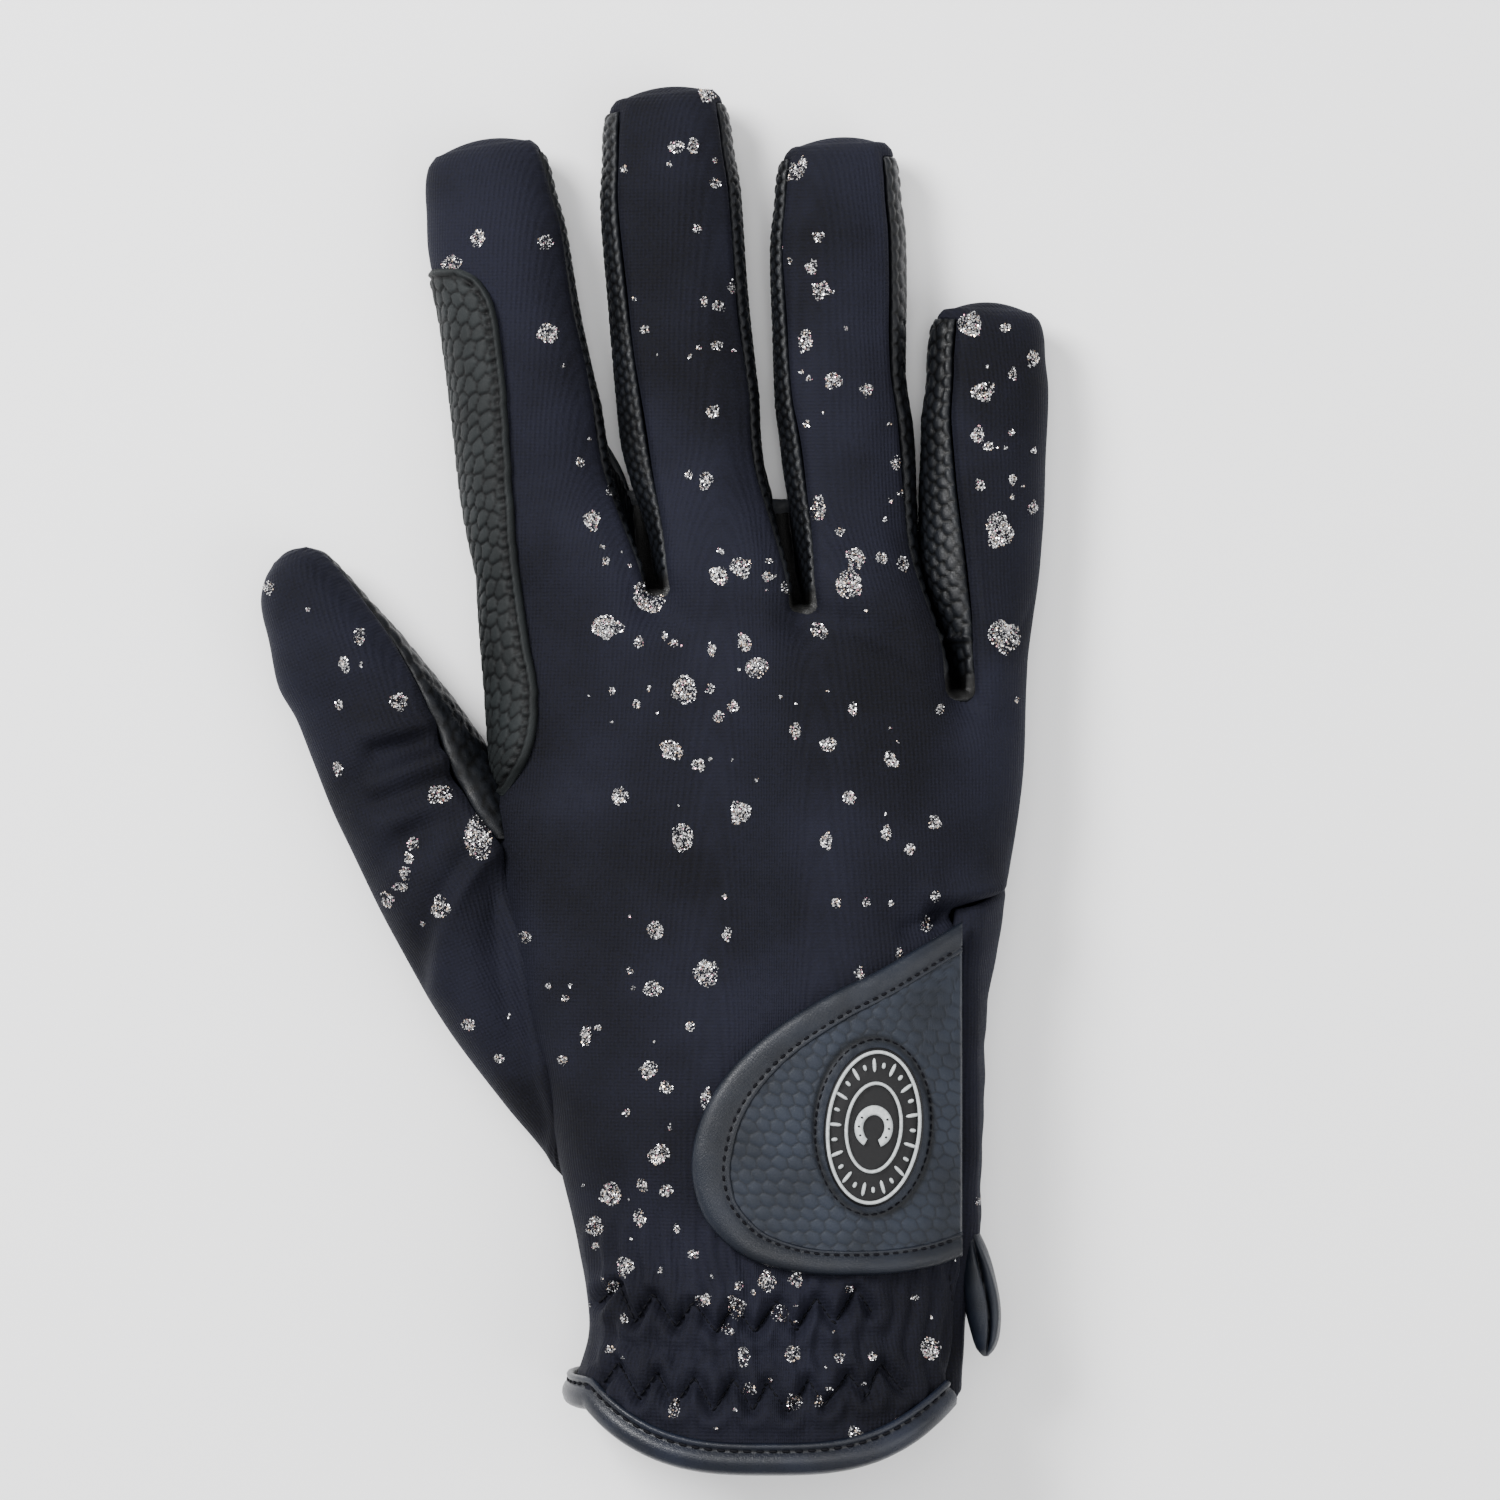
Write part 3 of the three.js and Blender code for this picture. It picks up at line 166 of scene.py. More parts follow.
FINGER_SECTIONS = table(
    "along width height",
    (0.0, 1.0, 1.12),
    (0.3, 1.0, 1.06),
    (0.6, 0.99, 1.0),
    (0.8, 1.0, 0.96),
    (0.88, 0.94, 0.9),
    (0.94, 0.905, 0.8),
    (0.98, 0.825, 0.64),
    (1.0, 0.7, 0.46),
)
THUMB_SECTIONS = table(
    "along outer inner height",
    (0.0, 0.03, 0.3, 0.9),
    (0.06, 0.08, 0.42, 0.98),
    (0.15, 0.2, 0.55, 1.06),
    (0.29, 0.345, 0.64, 1.12),
    (0.44, 0.425, 0.66, 1.1),
    (0.57, 0.46, 0.64, 1.04),
    (0.64, 0.475, 0.6, 1.0),
    (0.72, 0.46, 0.525, 0.96),
    (0.78, 0.455, 0.45, 0.94),
    (0.835, 0.485, 0.38, 0.92),
    (0.9, 0.42, 0.28, 0.86),
    (0.955, 0.36, 0.2, 0.74),
    (0.985, 0.27, 0.14, 0.6),
    (1.0, 0.18, 0.07, 0.42),
)
THUMB_FOLDS = table(
    "along slant depth width",
    (0.7, -0.05, 1.0, 0.022),
    (0.62, -0.09, 0.9, 0.022),
    (0.5, -0.1, 0.6, 0.026),
)
TAB_OUTLINE = table(
    "along across",
    (0.0, 1.0),
    (0.3, 0.868),
    (0.475, 0.803),
    (0.655, 0.72),
    (0.79, 0.637),
    (0.895, 0.545),
    (0.967, 0.443),
    (1.0, 0.333),
    (0.991, 0.24),
    (0.943, 0.147),
    (0.834, 0.065),
    (0.713, 0.023),
    (0.535, 0.0),
    (0.294, 0.0),
    (0.113, 0.018),
    (0.0, 0.042),
)
# The free edge of the lapped leather, in photograph pixels
WRAP_BORDER = table(
    "along across",
    (266, 446),
    (271, 466),
    (282, 482),
    (306, 495),
    (350, 503),
    (400, 508),
    (500, 515),
    (560, 520),
    (640, 531),
    (690, 540),
    (740, 537),
    (775, 522),
    (800, 500),
)


def read(rows, column, share):
    """The value of a table's column at a share along it, on a smooth curve through the rows."""
    along, value = rows["along"], rows[column]
    count = len(along)
    before = np.maximum(np.arange(count) - 1, 0)
    after = np.minimum(np.arange(count) + 1, count - 1)
    slope = (value[after] - value[before]) / (along[after] - along[before])
    k = np.clip(np.searchsorted(along[1:-1], share, side="left"), 0, count - 2)
    span = along[k + 1] - along[k]
    t = np.clip((share - along[k]) / span, 0, 1)
    return (
        (2 * t**3 - 3 * t**2 + 1) * value[k]
        + (t**3 - 2 * t**2 + t) * span * slope[k]
        + (3 * t**2 - 2 * t**3) * value[k + 1]
        + (t**3 - t**2) * span * slope[k + 1]
    )


def smooth(t):
    t = np.clip(t, 0, 1)
    return t * t * (3 - 2 * t)


def lerp(a, b, t):
    return a + (b - a) * t


def hump(x, width):
    """A bell curve, 1 where x is 0."""
    return np.exp(-((x / width) ** 2))


def stack(x, y, z):
    return np.stack(np.broadcast_arrays(x, y, z), -1)


def unit(vectors):
    return vectors / np.maximum(np.linalg.norm(vectors, axis=-1, keepdims=True), 1e-9)


def eased(values, times):
    """Rows of values smoothed along themselves, the two ends kept."""
    for _ in range(times):
        values[1:-1] = (values[:-2] + 2 * values[1:-1] + values[2:]) / 4
    return values


def run_of(path):
    """How far along a path each of its points lies."""
    return np.concatenate([[0], np.cumsum(np.linalg.norm(np.diff(path, axis=0), axis=1))])


def summed(steps):
    """Running totals along rows of steps, from 0."""
    return np.concatenate([np.zeros((len(steps), 1)), np.cumsum(steps, 1)], 1)


def row_runs(grid):
    """How far along its own row each point of a grid lies."""
    return summed(np.linalg.norm(np.diff(grid, axis=1), axis=2))


def at_run(at, run, values):
    """Rows of values at distances along a path."""
    return np.stack([np.interp(at, run, column) for column in values.T], 1)


def evenly(path, count, values=None):
    """A count of points, or of values that go with them, evenly along a path."""
    run = run_of(path)
    return at_run(np.linspace(0, run[-1], count), run, path if values is None else values)


def resample(path, pitch):
    """A polyline as points one pitch apart."""
    return evenly(path, max(int(round(run_of(path)[-1] / pitch)), 1) + 1)


def rise(share, roundness):
    return (1 - np.minimum(np.abs(share), 1) ** roundness) ** (1 / roundness)


def bulge(value, roundness):
    return np.sign(value) * np.abs(value) ** (2 / roundness)


def seam_angle(share, roundness):
    return np.arccos(share ** (roundness / 2))


def height_at(share, height, roundness, upper):
    """A section's height at a share of its half width, on its upper or flattened lower side."""
    middle = WIDEST_SHARE * height
    top = middle + (height - middle) * rise(share, roundness)
    low = np.maximum(0, middle - UNDERSIDE_SHARE * middle * rise(share, roundness))
    return np.where(upper, top, low)


def wrap_room(y):
    """How far the hand and index finger draw in under the lapped leather."""
    start = HAND_LENGTH * WRAP_START
    inside = np.minimum(y - start, start + WRAP_LENGTH - y) / WRAP_WIDTH
    return (LAP_GAP + LEATHER_WALL) * smooth(inside + 0.5)


def hand_section(y):
    """The hand's left edge, right edge and height at a distance y from the hem."""
    share = y / HAND_LENGTH
    left = -HAND_HALF_WIDTH * read(HAND_SECTIONS, "left", share) + wrap_room(y)
    right = HAND_HALF_WIDTH * read(HAND_SECTIONS, "right", share)
    return left, right, HAND_THICKNESS * read(HAND_SECTIONS, "height", share)


def crotch_dip(x, y, side):
    """How far the fabric is drawn down by the crotches between the fingers."""
    dip = 0
    for k in (1, 2, 3):
        across = (x - HAND_HALF_WIDTH * ROOTS[side + "_x"][k]) / CROTCH_SPREAD
        before = (HAND_LENGTH * ROOTS[side + "_y"][k] - y) / CROTCH_REACH
        dip = dip + CROTCH_DIP * np.exp(-(across**2) - np.maximum(before, 0) ** 2)
    return np.maximum(dip - DIP_FLOOR, 0)


def hand_seam(place, y, side):
    if side == "palm":
        return np.full(np.broadcast(place, y).shape, PALM_SEAM)
    return np.where(np.asarray(place) < 0, THUMB_SIDE_SEAM, read(HAND_SECTIONS, "slit", y / HAND_LENGTH))


def root_place(k, shift, side):
    """A crotch's place across the hand, on the left or right of its web."""
    if k in (0, 4):
        return -1.0 if k == 0 else 1.0
    y = HAND_LENGTH * ROOTS[side + "_y"][k]
    left, right, _ = hand_section(y)
    x = HAND_HALF_WIDTH * ROOTS[side + "_x"][k] + shift * CROTCH_WEB / 2
    place = (2 * x - left - right) / (right - left)
    return place / float(hand_seam(place, y, side))


# Four columns to a finger and one to each web between fingers
COLUMN_COUNT = 19
# The gaps between neighbouring fingers low down, before bowing, and where they give way to FINGER_GAP
LOW_GAPS = (2.2, 3.4, -0.9)
LOW_GAP_END = 176
LOW_GAP_FADE = 14


def finger_columns(f, u, side):
    """Columns of the hand under a finger: their share across, root and place at the root."""
    root_y = ROOTS[side + "_y"]
    root = HAND_LENGTH * lerp(root_y[f], root_y[f + 1], u)
    end = lerp(root_place(f, 1, side), root_place(f + 1, -1, side), u)
    return (5 * f + 4 * u) / COLUMN_COUNT, root, end


def web_columns(f, g, side):
    """Columns of the narrow web after a finger, from its left edge (0) to its right edge (1)."""
    root = HAND_LENGTH * ROOTS[side + "_y"][f + 1] + 0 * g
    end = lerp(root_place(f + 1, -1, side), root_place(f + 1, 1, side), g)
    return (5 * f + 4 + g) / COLUMN_COUNT, root, end


def hem_of(share, side):
    reach = np.abs(2 * share - 1) ** HEM_CURVE
    sag = lerp(BACK_HEM_RISE if side == "back" else PALM_HEM_RISE, HEM_SAG, reach)
    return LAP_GAP + BINDING_WALL + sag


def binding_room(from_hem):
    lowered = smooth((from_hem - HEM_BINDING_WIDTH) / HEM_LIFT_REACH)
    return (LAP_GAP + BINDING_WALL + BINDING_CLEARANCE) * (1 - lowered)


def hand_face(columns, v, side):
    """Points on the back or palm of the hand, v of the way to the finger roots."""
    share, root, end = columns
    hem = hem_of(share, side)
    y = lerp(hem, root, v)
    left, right, height = hand_section(y)
    place = lerp(2 * share - 1, end, v)
    across = place * hand_seam(place, y, side)
    x = (left + right) / 2 + across * (right - left) / 2
    z = height_at(across, height, HAND_ROUNDNESS, side == "back")
    dip = crotch_dip(x, y, side)
    z = z - dip if side == "back" else np.maximum(z, binding_room(y - hem)) + dip
    return stack(x, y, z)


def hand_side(sign, w, v):
    """Points on the hand's outer side wall: w runs from the back's seam to the palm's seam."""
    f, u = (0, 0) if sign < 0 else (3, 1)
    ends = []
    for side in ("back", "palm"):
        share, root, _ = finger_columns(f, u, side)
        ends.append((hem_of(share, side), root))
    y = lerp(lerp(ends[0][0], ends[0][1], v), lerp(ends[1][0], ends[1][1], v), w)
    left, right, height = hand_section(y)
    start = seam_angle(hand_seam(sign, y, "back"), HAND_ROUNDNESS)
    angle = lerp(start, -seam_angle(PALM_SEAM, HAND_ROUNDNESS), w)
    across = sign * bulge(np.cos(angle), HAND_ROUNDNESS)
    x = (left + right) / 2 + across * (right - left) / 2
    z = height_at(across, height, HAND_ROUNDNESS, angle > 0)
    return stack(x, y, np.maximum(z, binding_room(y - lerp(ends[0][0], ends[1][0], w))))


def ways_of(lean):
    """The directions along and across a finger that leans by some degrees."""
    lean = math.radians(lean)
    return np.array([-math.sin(lean), math.cos(lean)]), np.array([math.cos(lean), math.sin(lean)])


def finger_axis(finger):
    root = np.array([HAND_HALF_WIDTH * finger["x"], HAND_LENGTH * finger["y"]])
    return root, *ways_of(finger["lean"])


def finger_half_width(f, share, side):
    """The half width of a finger on one side, kept clear of the neighbouring finger's axis."""
    finger = FINGERS[f]
    taper = read(FINGER_SECTIONS, "width", share) + finger["flare"] * np.maximum(1 - share, 0) ** 3
    lapped = wrap_room(HAND_LENGTH + share * finger["length"]) if f == 0 and side < 0 else 0
    free = FINGER_WIDTH * finger["width"] * taper / 2 - lapped
    if not 0 <= f + side < len(FINGERS):
        return free
    other = FINGERS[f + side]
    root, ahead, _ = finger_axis(finger)
    other_root, _, other_aside = finger_axis(other)
    point = root + share[..., None] * finger["length"] * ahead
    apart = np.abs((point - other_root) @ other_aside)
    low_gap = LOW_GAPS[min(f, f + side)]
    gap = lerp(low_gap, FINGER_GAP, smooth((point[..., 1] - LOW_GAP_END) / LOW_GAP_FADE))
    return np.minimum(free, apart * finger["width"] / (finger["width"] + other["width"]) - gap / 2)


def finger_surface(f, share, across, upper):
    finger = FINGERS[f]
    root, ahead, aside = finger_axis(finger)
    share, across = np.broadcast_arrays(share, across)
    half = np.where(across < 0, finger_half_width(f, share, -1), finger_half_width(f, share, 1))
    sideways = -FINGER_WIDTH * finger["bow"] * np.sin(np.pi * share) + across * half
    height = FINGER_THICKNESS * read(FINGER_SECTIONS, "height", share)
    lift = (FINGER_THICKNESS - height) / 2 * smooth((share - 0.8) / 0.2)
    plan = root + (share * finger["length"])[..., None] * ahead + sideways[..., None] * aside
    z = lift + height_at(across, height, FINGER_ROUNDNESS, upper)
    return stack(plan[..., 0], plan[..., 1], z)


def finger_point(f, start, t, across, upper):
    """Carries points of the finger's root along the finger and into its own section."""
    finger = FINGERS[f]
    root, ahead, _ = finger_axis(finger)
    begun = (start[..., :2] - root) @ ahead
    travelled = lerp(begun, finger["length"], t)
    carried = start + (travelled - begun)[..., None] * np.append(ahead, 0)
    section = finger_surface(f, travelled / finger["length"], across, upper)
    return lerp(carried, section, smooth(t / ROOT_BLEND)[..., None])


def seam_of(f, side, t):
    """Where a finger's back meets its side wall, as a share of the half width, from root to tip."""
    root, tip = FINGERS[f]["seam_" + side]
    return lerp(root, tip, smooth(np.asarray(t) / 0.8))


def finger_face(f, u, t, side):
    left = seam_of(f, "left", t) if side == "back" else PALM_SEAM
    right = seam_of(f, "right", t) if side == "back" else PALM_SEAM
    start = hand_face(finger_columns(f, u, side), 1.0, side)
    return finger_point(f, start, t, lerp(-left, right, u), side == "back")


WEB_DROP = 2.6


def web_edge(columns_back, columns_palm, w):
    back = hand_face(columns_back, 1.0, "back")
    palm = hand_face(columns_palm, 1.0, "palm")
    w = np.asarray(w, float)
    return lerp(back, palm, stack(w, w**WEB_DROP, w))


def finger_side(f, sign, w, t):
    """A finger's side wall, w from the back's seam to the palm's seam."""
    seam = seam_angle(seam_of(f, "left" if sign < 0 else "right", t), FINGER_ROUNDNESS)
    angle = lerp(seam, -seam_angle(PALM_SEAM, FINGER_ROUNDNESS), w)
    u = 0.0 if sign < 0 else 1.0
    if f == (0 if sign < 0 else 3):
        start = hand_side(sign, w, 1.0)
    else:
        start = web_edge(finger_columns(f, u, "back"), finger_columns(f, u, "palm"), w)
    return finger_point(f, start, t, sign * bulge(np.cos(angle), FINGER_ROUNDNESS), angle > 0)


# Patches and shells
def shares(count):
    return np.linspace(0, 1, count + 1)


def weld(patches, tolerance=1e-3):
    """Grids of points joined where they meet: points, quads with the outside up."""
    flat = np.concatenate([p.reshape(-1, 3) for p in patches])
    keys = np.round(flat / tolerance).astype(np.int64)
    _, first, back = np.unique(keys, axis=0, return_index=True, return_inverse=True)
    back = back.ravel()
    quads, start = [], 0
    for p in patches:
        ids = back[start:start + p.shape[0] * p.shape[1]].reshape(p.shape[:2])
        quads.append(np.stack([ids[:-1, :-1], ids[:-1, 1:], ids[1:, 1:], ids[1:, :-1]], -1).reshape(-1, 4))
        start += ids.size
    quads = np.concatenate(quads)
    whole = np.array([len(set(q)) == 4 for q in quads.tolist()])
    return flat[first], quads[whole], first


def normals_of(points, quads):
    a, b, c, d = (points[quads[:, k]] for k in range(4))
    across = np.cross(c - a, d - b)
    sums = np.zeros_like(points)
    for k in range(4):
        np.add.at(sums, quads[:, k], across)
    return unit(sums)


def open_edges(quads):
    edges = np.concatenate([quads[:, [k, (k + 1) % 4]] for k in range(4)])
    key = np.sort(edges, 1)
    _, first, counts = np.unique(key, axis=0, return_index=True, return_counts=True)
    return edges[first[counts == 1]]


def distance_to(points, targets):
    tree = KDTree(len(targets))
    for k, p in enumerate(targets.tolist()):
        tree.insert(p, k)
    tree.balance()
    return np.array([tree.find(p)[2] for p in points.tolist()])


def ripple(points, pitch, seed, count=7):
    """Soft noise from a few seeded waves, between about -1 and 1."""
    own = np.random.default_rng(seed)
    total = 0
    for _ in range(count):
        way = own.normal(size=3)
        way *= own.uniform(0.7, 1.4) / np.linalg.norm(way) * 2 * np.pi / pitch
        total = total + np.sin(points @ way + own.uniform(0, 2 * np.pi))
    return total / math.sqrt(count)


def cells(q, r, size, jitter, seed):
    """Distance from the edge of jittered six-sided cells, 0 on the edge, and the place within a cell."""
    rows = size * math.sqrt(3) / 2
    j = np.floor(r / rows).astype(int)
    nearest = np.full(q.shape, 1e9)
    second = np.full(q.shape, 1e9)
    within = np.zeros(q.shape)
    for dj in (-1, 0, 1, 2):
        row = j + dj
        offset = 0.5 * (row % 2)
        i = np.floor(q / size - offset).astype(int)
        for di in (-1, 0, 1, 2):
            cell = i + di
            mixed = (cell * 73856093) ^ (row * 19349663) ^ seed
            a = ((mixed * 2654435761) % 65536) / 65536 - 0.5
            b = ((mixed * 40503 + 12345) % 65521) / 65521 - 0.5
            x = (cell + offset + 0.5 + jitter * a) * size
            y = (row + 0.5 + jitter * b) * rows
            gap = np.hypot(q - x, r - y)
            second = np.where(gap < nearest, nearest, np.minimum(second, gap))
            within = np.where(gap < nearest, (q - x) / size, within)
            nearest = np.minimum(nearest, gap)
    return (second - nearest) / 2, within


def between(outside, inside, quads):
    """A closed plate from two sheets that share their quads."""
    rim, count = open_edges(quads), len(outside)
    sides = np.stack([rim[:, 0], rim[:, 0] + count, rim[:, 1] + count, rim[:, 1]], 1)
    return np.concatenate([outside, inside]), np.concatenate([quads, quads[:, ::-1] + count, sides])


FOLDED_WALL = 0.6


def shell(points, quads, up, wall):
    """A closed plate between a displaced outside and an inside, its open edges drawn back a little.

    Where the outside sinks deep, the inside follows it and leaves at least FOLDED_WALL of the wall.
    """
    normals = normals_of(points, quads)
    middles = points[quads].mean(1)
    pull = np.zeros_like(points)
    for k in range(4):
        np.add.at(pull, quads[:, k], middles - points[quads[:, k]])
    edge = np.unique(open_edges(quads))
    drawn = unit(pull[edge] - normals[edge] * (pull[edge] * normals[edge]).sum(1, keepdims=True))
    points = points.copy()
    points[edge] += drawn * SEAM_GAP / 2
    up = np.asarray(up)[..., None]
    inside = points - normals * np.maximum(wall, FOLDED_WALL * wall - up)
    return between(points + normals * up, inside, quads)


def seam_sink(points, quads, depth, width):
    """How far a sheet sinks along its sewn edges, and each point's distance from them."""
    gap = distance_to(points, points[np.unique(open_edges(quads))])
    return -depth * hump(gap, width), gap


# Blender objects
badge_low, badge_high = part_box("badge_base")
BADGE_CENTRE = np.array([
    HAND_HALF_WIDTH * TAB_FOOT[0] - BADGE_PLACE[0] * TAB_LENGTH,
    HAND_LENGTH * TAB_FOOT[1] + BADGE_PLACE[1] * TAB_WIDTH,
])
MILLIMETRE = 0.001
ORIGIN = np.array([
    (badge_low[0] + badge_high[0]) / 2 - BADGE_CENTRE[0] * MILLIMETRE,
    (badge_low[1] + badge_high[1]) / 2 - BADGE_CENTRE[1] * MILLIMETRE,
    0.0,
])


def make(name, points, faces, material, slot, nodes=(), **attributes):
    """A Blender piece from points in millimetres and one or more arrays of faces.

    Attributes may be given for the outer sheet alone: the inner one repeats the weave and has no grooves
    and no painted shade.
    """
    faces = faces if isinstance(faces, list) else [faces]
    points = np.column_stack([points[:, :2], np.maximum(points[:, 2], 0)])
    mesh = bpy.data.meshes.new(name)
    corners = np.concatenate([f.ravel() for f in faces]).astype(np.int32)
    sizes = np.concatenate([np.full(len(f), f.shape[1]) for f in faces])
    starts = np.concatenate([[0], np.cumsum(sizes)[:-1]]).astype(np.int32)
    mesh.vertices.add(len(points))
    mesh.vertices.foreach_set("co", (points * MILLIMETRE + ORIGIN).astype(np.float32).ravel())
    mesh.loops.add(len(corners))
    mesh.loops.foreach_set("vertex_index", corners)
    mesh.polygons.add(len(sizes))
    mesh.polygons.foreach_set("loop_start", starts)
    mesh.polygons.foreach_set("use_smooth", np.ones(len(sizes), bool))
    mesh.update(calc_edges=True)
    mesh.validate()
    for key, value in attributes.items():
        spare = len(points) - len(value)
        rest = value[:spare] if key == "weave" else np.zeros(spare)
        value = np.concatenate([value, rest]).astype(np.float32)
        kind, field = ("FLOAT_VECTOR", "vector") if value.ndim == 2 else ("FLOAT", "value")
        mesh.attributes.new(key, kind, "POINT").data.foreach_set(field, value.ravel())
    mesh.materials.append(material)
    piece = bpy.data.objects.new(name, mesh)
    bpy.context.scene.collection.objects.link(piece)
    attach(piece, "root")
    if nodes:
        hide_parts(*nodes)
    return piece


# Materials
class Nodes:
    """A material's nodes, with short ways to add and join them."""

    def __init__(self, name):
        self.material = bpy.data.materials.new(name)
        self.material.use_nodes = True
        self.tree = self.material.node_tree
        self.shader = self.tree.nodes["Principled BSDF"]

    def add(self, kind, settings=(), **inputs):
        node = self.tree.nodes.new("ShaderNode" + kind)
        for key, value in dict(settings).items():
            setattr(node, key, value)
        for key, value in inputs.items():
            self.put(node.inputs[key.replace("_", " ")], value)
        return node

    def put(self, socket, value):
        if isinstance(value, bpy.types.NodeSocket):
            self.tree.links.new(value, socket)
        else:
            socket.default_value = value

    def set(self, **inputs):
        for key, value in inputs.items():
            self.put(self.shader.inputs[key.replace("_", " ")], value)

    def attribute(self, name):
        return self.add("Attribute", {"attribute_name": name})

    def math(self, operation, a, b=0.0):
        node = self.add("Math", {"operation": operation})
        self.put(node.inputs[0], a)
        self.put(node.inputs[1], b)
        return node.outputs[0]

    def mix(self, share, a, b):
        node = self.add("Mix", {"data_type": "RGBA"})
        self.put(node.inputs[0], share)
        self.put(node.inputs[6], a)
        self.put(node.inputs[7], b)
        return node.outputs[2]

    def ramp(self, value, low, high, start=0.0, end=1.0):
        node = self.add("MapRange", {"interpolation_type": "SMOOTHSTEP"})
        for k, v in enumerate((value, low, high, start, end)):
            self.put(node.inputs[k], v)
        return node.outputs[0]

    def bump(self, height, distance, strength=1.0, under=None):
        node = self.add("Bump", {}, Height=height, Distance=distance, Strength=strength)
        if under is not None:
            self.put(node.inputs["Normal"], under)
        return node.outputs[0]

    def place(self):
        """Object coordinates in millimetres."""
        coordinates = self.add("TexCoord")
        scaled = self.add("VectorMath", {"operation": "SCALE"})
        self.put(scaled.inputs[0], coordinates.outputs["Object"])
        scaled.inputs["Scale"].default_value = 1 / MILLIMETRE
        return scaled.outputs[0]

    def noise(self, place, scale, detail=4.0, roughness=0.55):
        node = self.add("TexNoise", {}, Vector=place, Scale=scale, Detail=detail, Roughness=roughness)
        return node.outputs["Fac"]


def colour(red, green, blue):
    """A colour given as it looks on a screen, 0 to 255, as linear light."""
    return tuple(((c / 255 + 0.055) / 1.055) ** 2.4 if c > 10 else c / 255 / 12.92
                 for c in (red, green, blue)) + (1.0,)


RIB_PITCH = 0.82
COURSE_PITCH = 0.62


def knit(name, dark, light):
    """Fine ribbed stretch knit: ribs along the fingers, faint courses across, and a soft sheen."""
    m = Nodes(name)
    weave = m.attribute("weave").outputs["Vector"]
    place = m.place()
    apart = m.add("SeparateXYZ", {}, Vector=weave)
    wander = m.math("MULTIPLY", m.noise(place, 0.06, 2.0), 0.8)
    across = m.math("ADD", apart.outputs[0], wander)
    rib = m.math("SINE", m.math("MULTIPLY", across, 2 * math.pi / RIB_PITCH))
    course = m.math("SINE", m.math("MULTIPLY", apart.outputs[1], 2 * math.pi / COURSE_PITCH))
    worn = m.ramp(m.noise(place, 0.9, 3.0), 0.3, 0.6)
    relief = m.math("MULTIPLY", m.math("ADD", rib, m.math("MULTIPLY", course, 0.5)), worn)
    fluff = m.noise(place, 2.6, 5.0, 0.7)
    cloud = m.noise(place, 0.03, 3.0)
    share = m.math("ADD", m.math("MULTIPLY", relief, 0.07), m.ramp(cloud, 0.3, 0.7, 0.15, 0.75))
    share = m.math("ADD", share, m.ramp(fluff, 0.35, 0.75, -0.2, 0.3))
    m.set(Base_Color=m.mix(share, dark, light), Roughness=m.ramp(fluff, 0.3, 0.7, 0.72, 0.9))
    m.set(Specular_IOR_Level=0.1, Sheen_Weight=0.035, Sheen_Roughness=0.4)
    m.set(Sheen_Tint=colour(120, 125, 160))
    fine = m.bump(fluff, 0.00009, 0.6)
    m.set(Normal=m.bump(relief, 0.00008, 0.55, fine))
    return m.material


def leather(name, base, groove_colour, gloss, worn=0.25, specular=0.3):
    """Leather with a fine grain; its groove attribute, 0 to 1, is how deep a point lies in the embossing
    and how far painted shade darkens it there.
    """
    m = Nodes(name)
    place = m.place()
    groove = m.attribute("groove").outputs["Fac"]
    grain = m.add("TexVoronoi", {"feature": "DISTANCE_TO_EDGE"}, Vector=place, Scale=2.4)
    pores = m.noise(place, 4.0, 5.0, 0.65)
    cloud = m.noise(place, 0.09, 3.0)
    lighter = tuple(min(1.0, c * 1.45) for c in base[:3]) + (1.0,)
    darker = tuple(c * 0.72 for c in base[:3]) + (1.0,)
    body = m.mix(m.ramp(cloud, 0.3, 0.7), darker, lighter)
    speckled = m.mix(m.ramp(pores, 0.45, 0.75, 0.0, worn), body, lighter)
    # Painted shade: the colour darkens towards a near-black shade colour in grooves, creases, stitch lines
    # and pockets
    m.set(Base_Color=m.mix(groove, speckled, groove_colour))
    m.set(Roughness=m.ramp(pores, 0.3, 0.7, gloss - 0.06, gloss + 0.1), Specular_IOR_Level=specular)
    fine = m.bump(pores, 0.00006, 0.5)
    m.set(Normal=m.bump(m.ramp(grain.outputs["Distance"], 0.0, 0.12), 0.00005, 0.35, fine))
    return m.material


def thread(name, base):
    m = Nodes(name)
    place = m.place()
    ply = m.noise(place, 6.0, 3.0)
    pale = tuple(min(1.0, c * 2.0) for c in base[:3]) + (1.0,)
    m.set(Base_Color=m.mix(m.ramp(ply, 0.4, 0.7), base, pale), Roughness=0.7, Specular_IOR_Level=0.12)
    m.set(Normal=m.bump(ply, 0.00005, 0.7))
    return m.material


def rubber(name, base, pale, gloss):
    m = Nodes(name)
    place = m.place()
    mottle = m.noise(place, 1.6, 4.0)
    m.set(Base_Color=m.mix(m.ramp(mottle, 0.35, 0.75), base, pale))
    m.set(Roughness=m.ramp(mottle, 0.3, 0.7, gloss, gloss + 0.14), Specular_IOR_Level=0.25)
    m.set(Normal=m.bump(m.noise(place, 9.0, 3.0), 0.00003, 0.5))
    return m.material


def glitter(name):
    """Silver flakes: each has its own tone, a few warm or pink."""
    m = Nodes(name)
    tone = m.attribute("tone").outputs["Fac"]
    hint = m.attribute("hint").outputs["Fac"]
    silver = m.mix(tone, colour(120, 118, 116), colour(250, 250, 252))
    tinted = m.mix(m.ramp(hint, 0.86, 0.9), silver, colour(232, 205, 178))
    tinted = m.mix(m.ramp(hint, 0.96, 0.975), tinted, colour(238, 170, 190))
    m.set(Base_Color=tinted, Metallic=1.0, Roughness=m.ramp(tone, 0.0, 1.0, 0.42, 0.2))
    return m.material


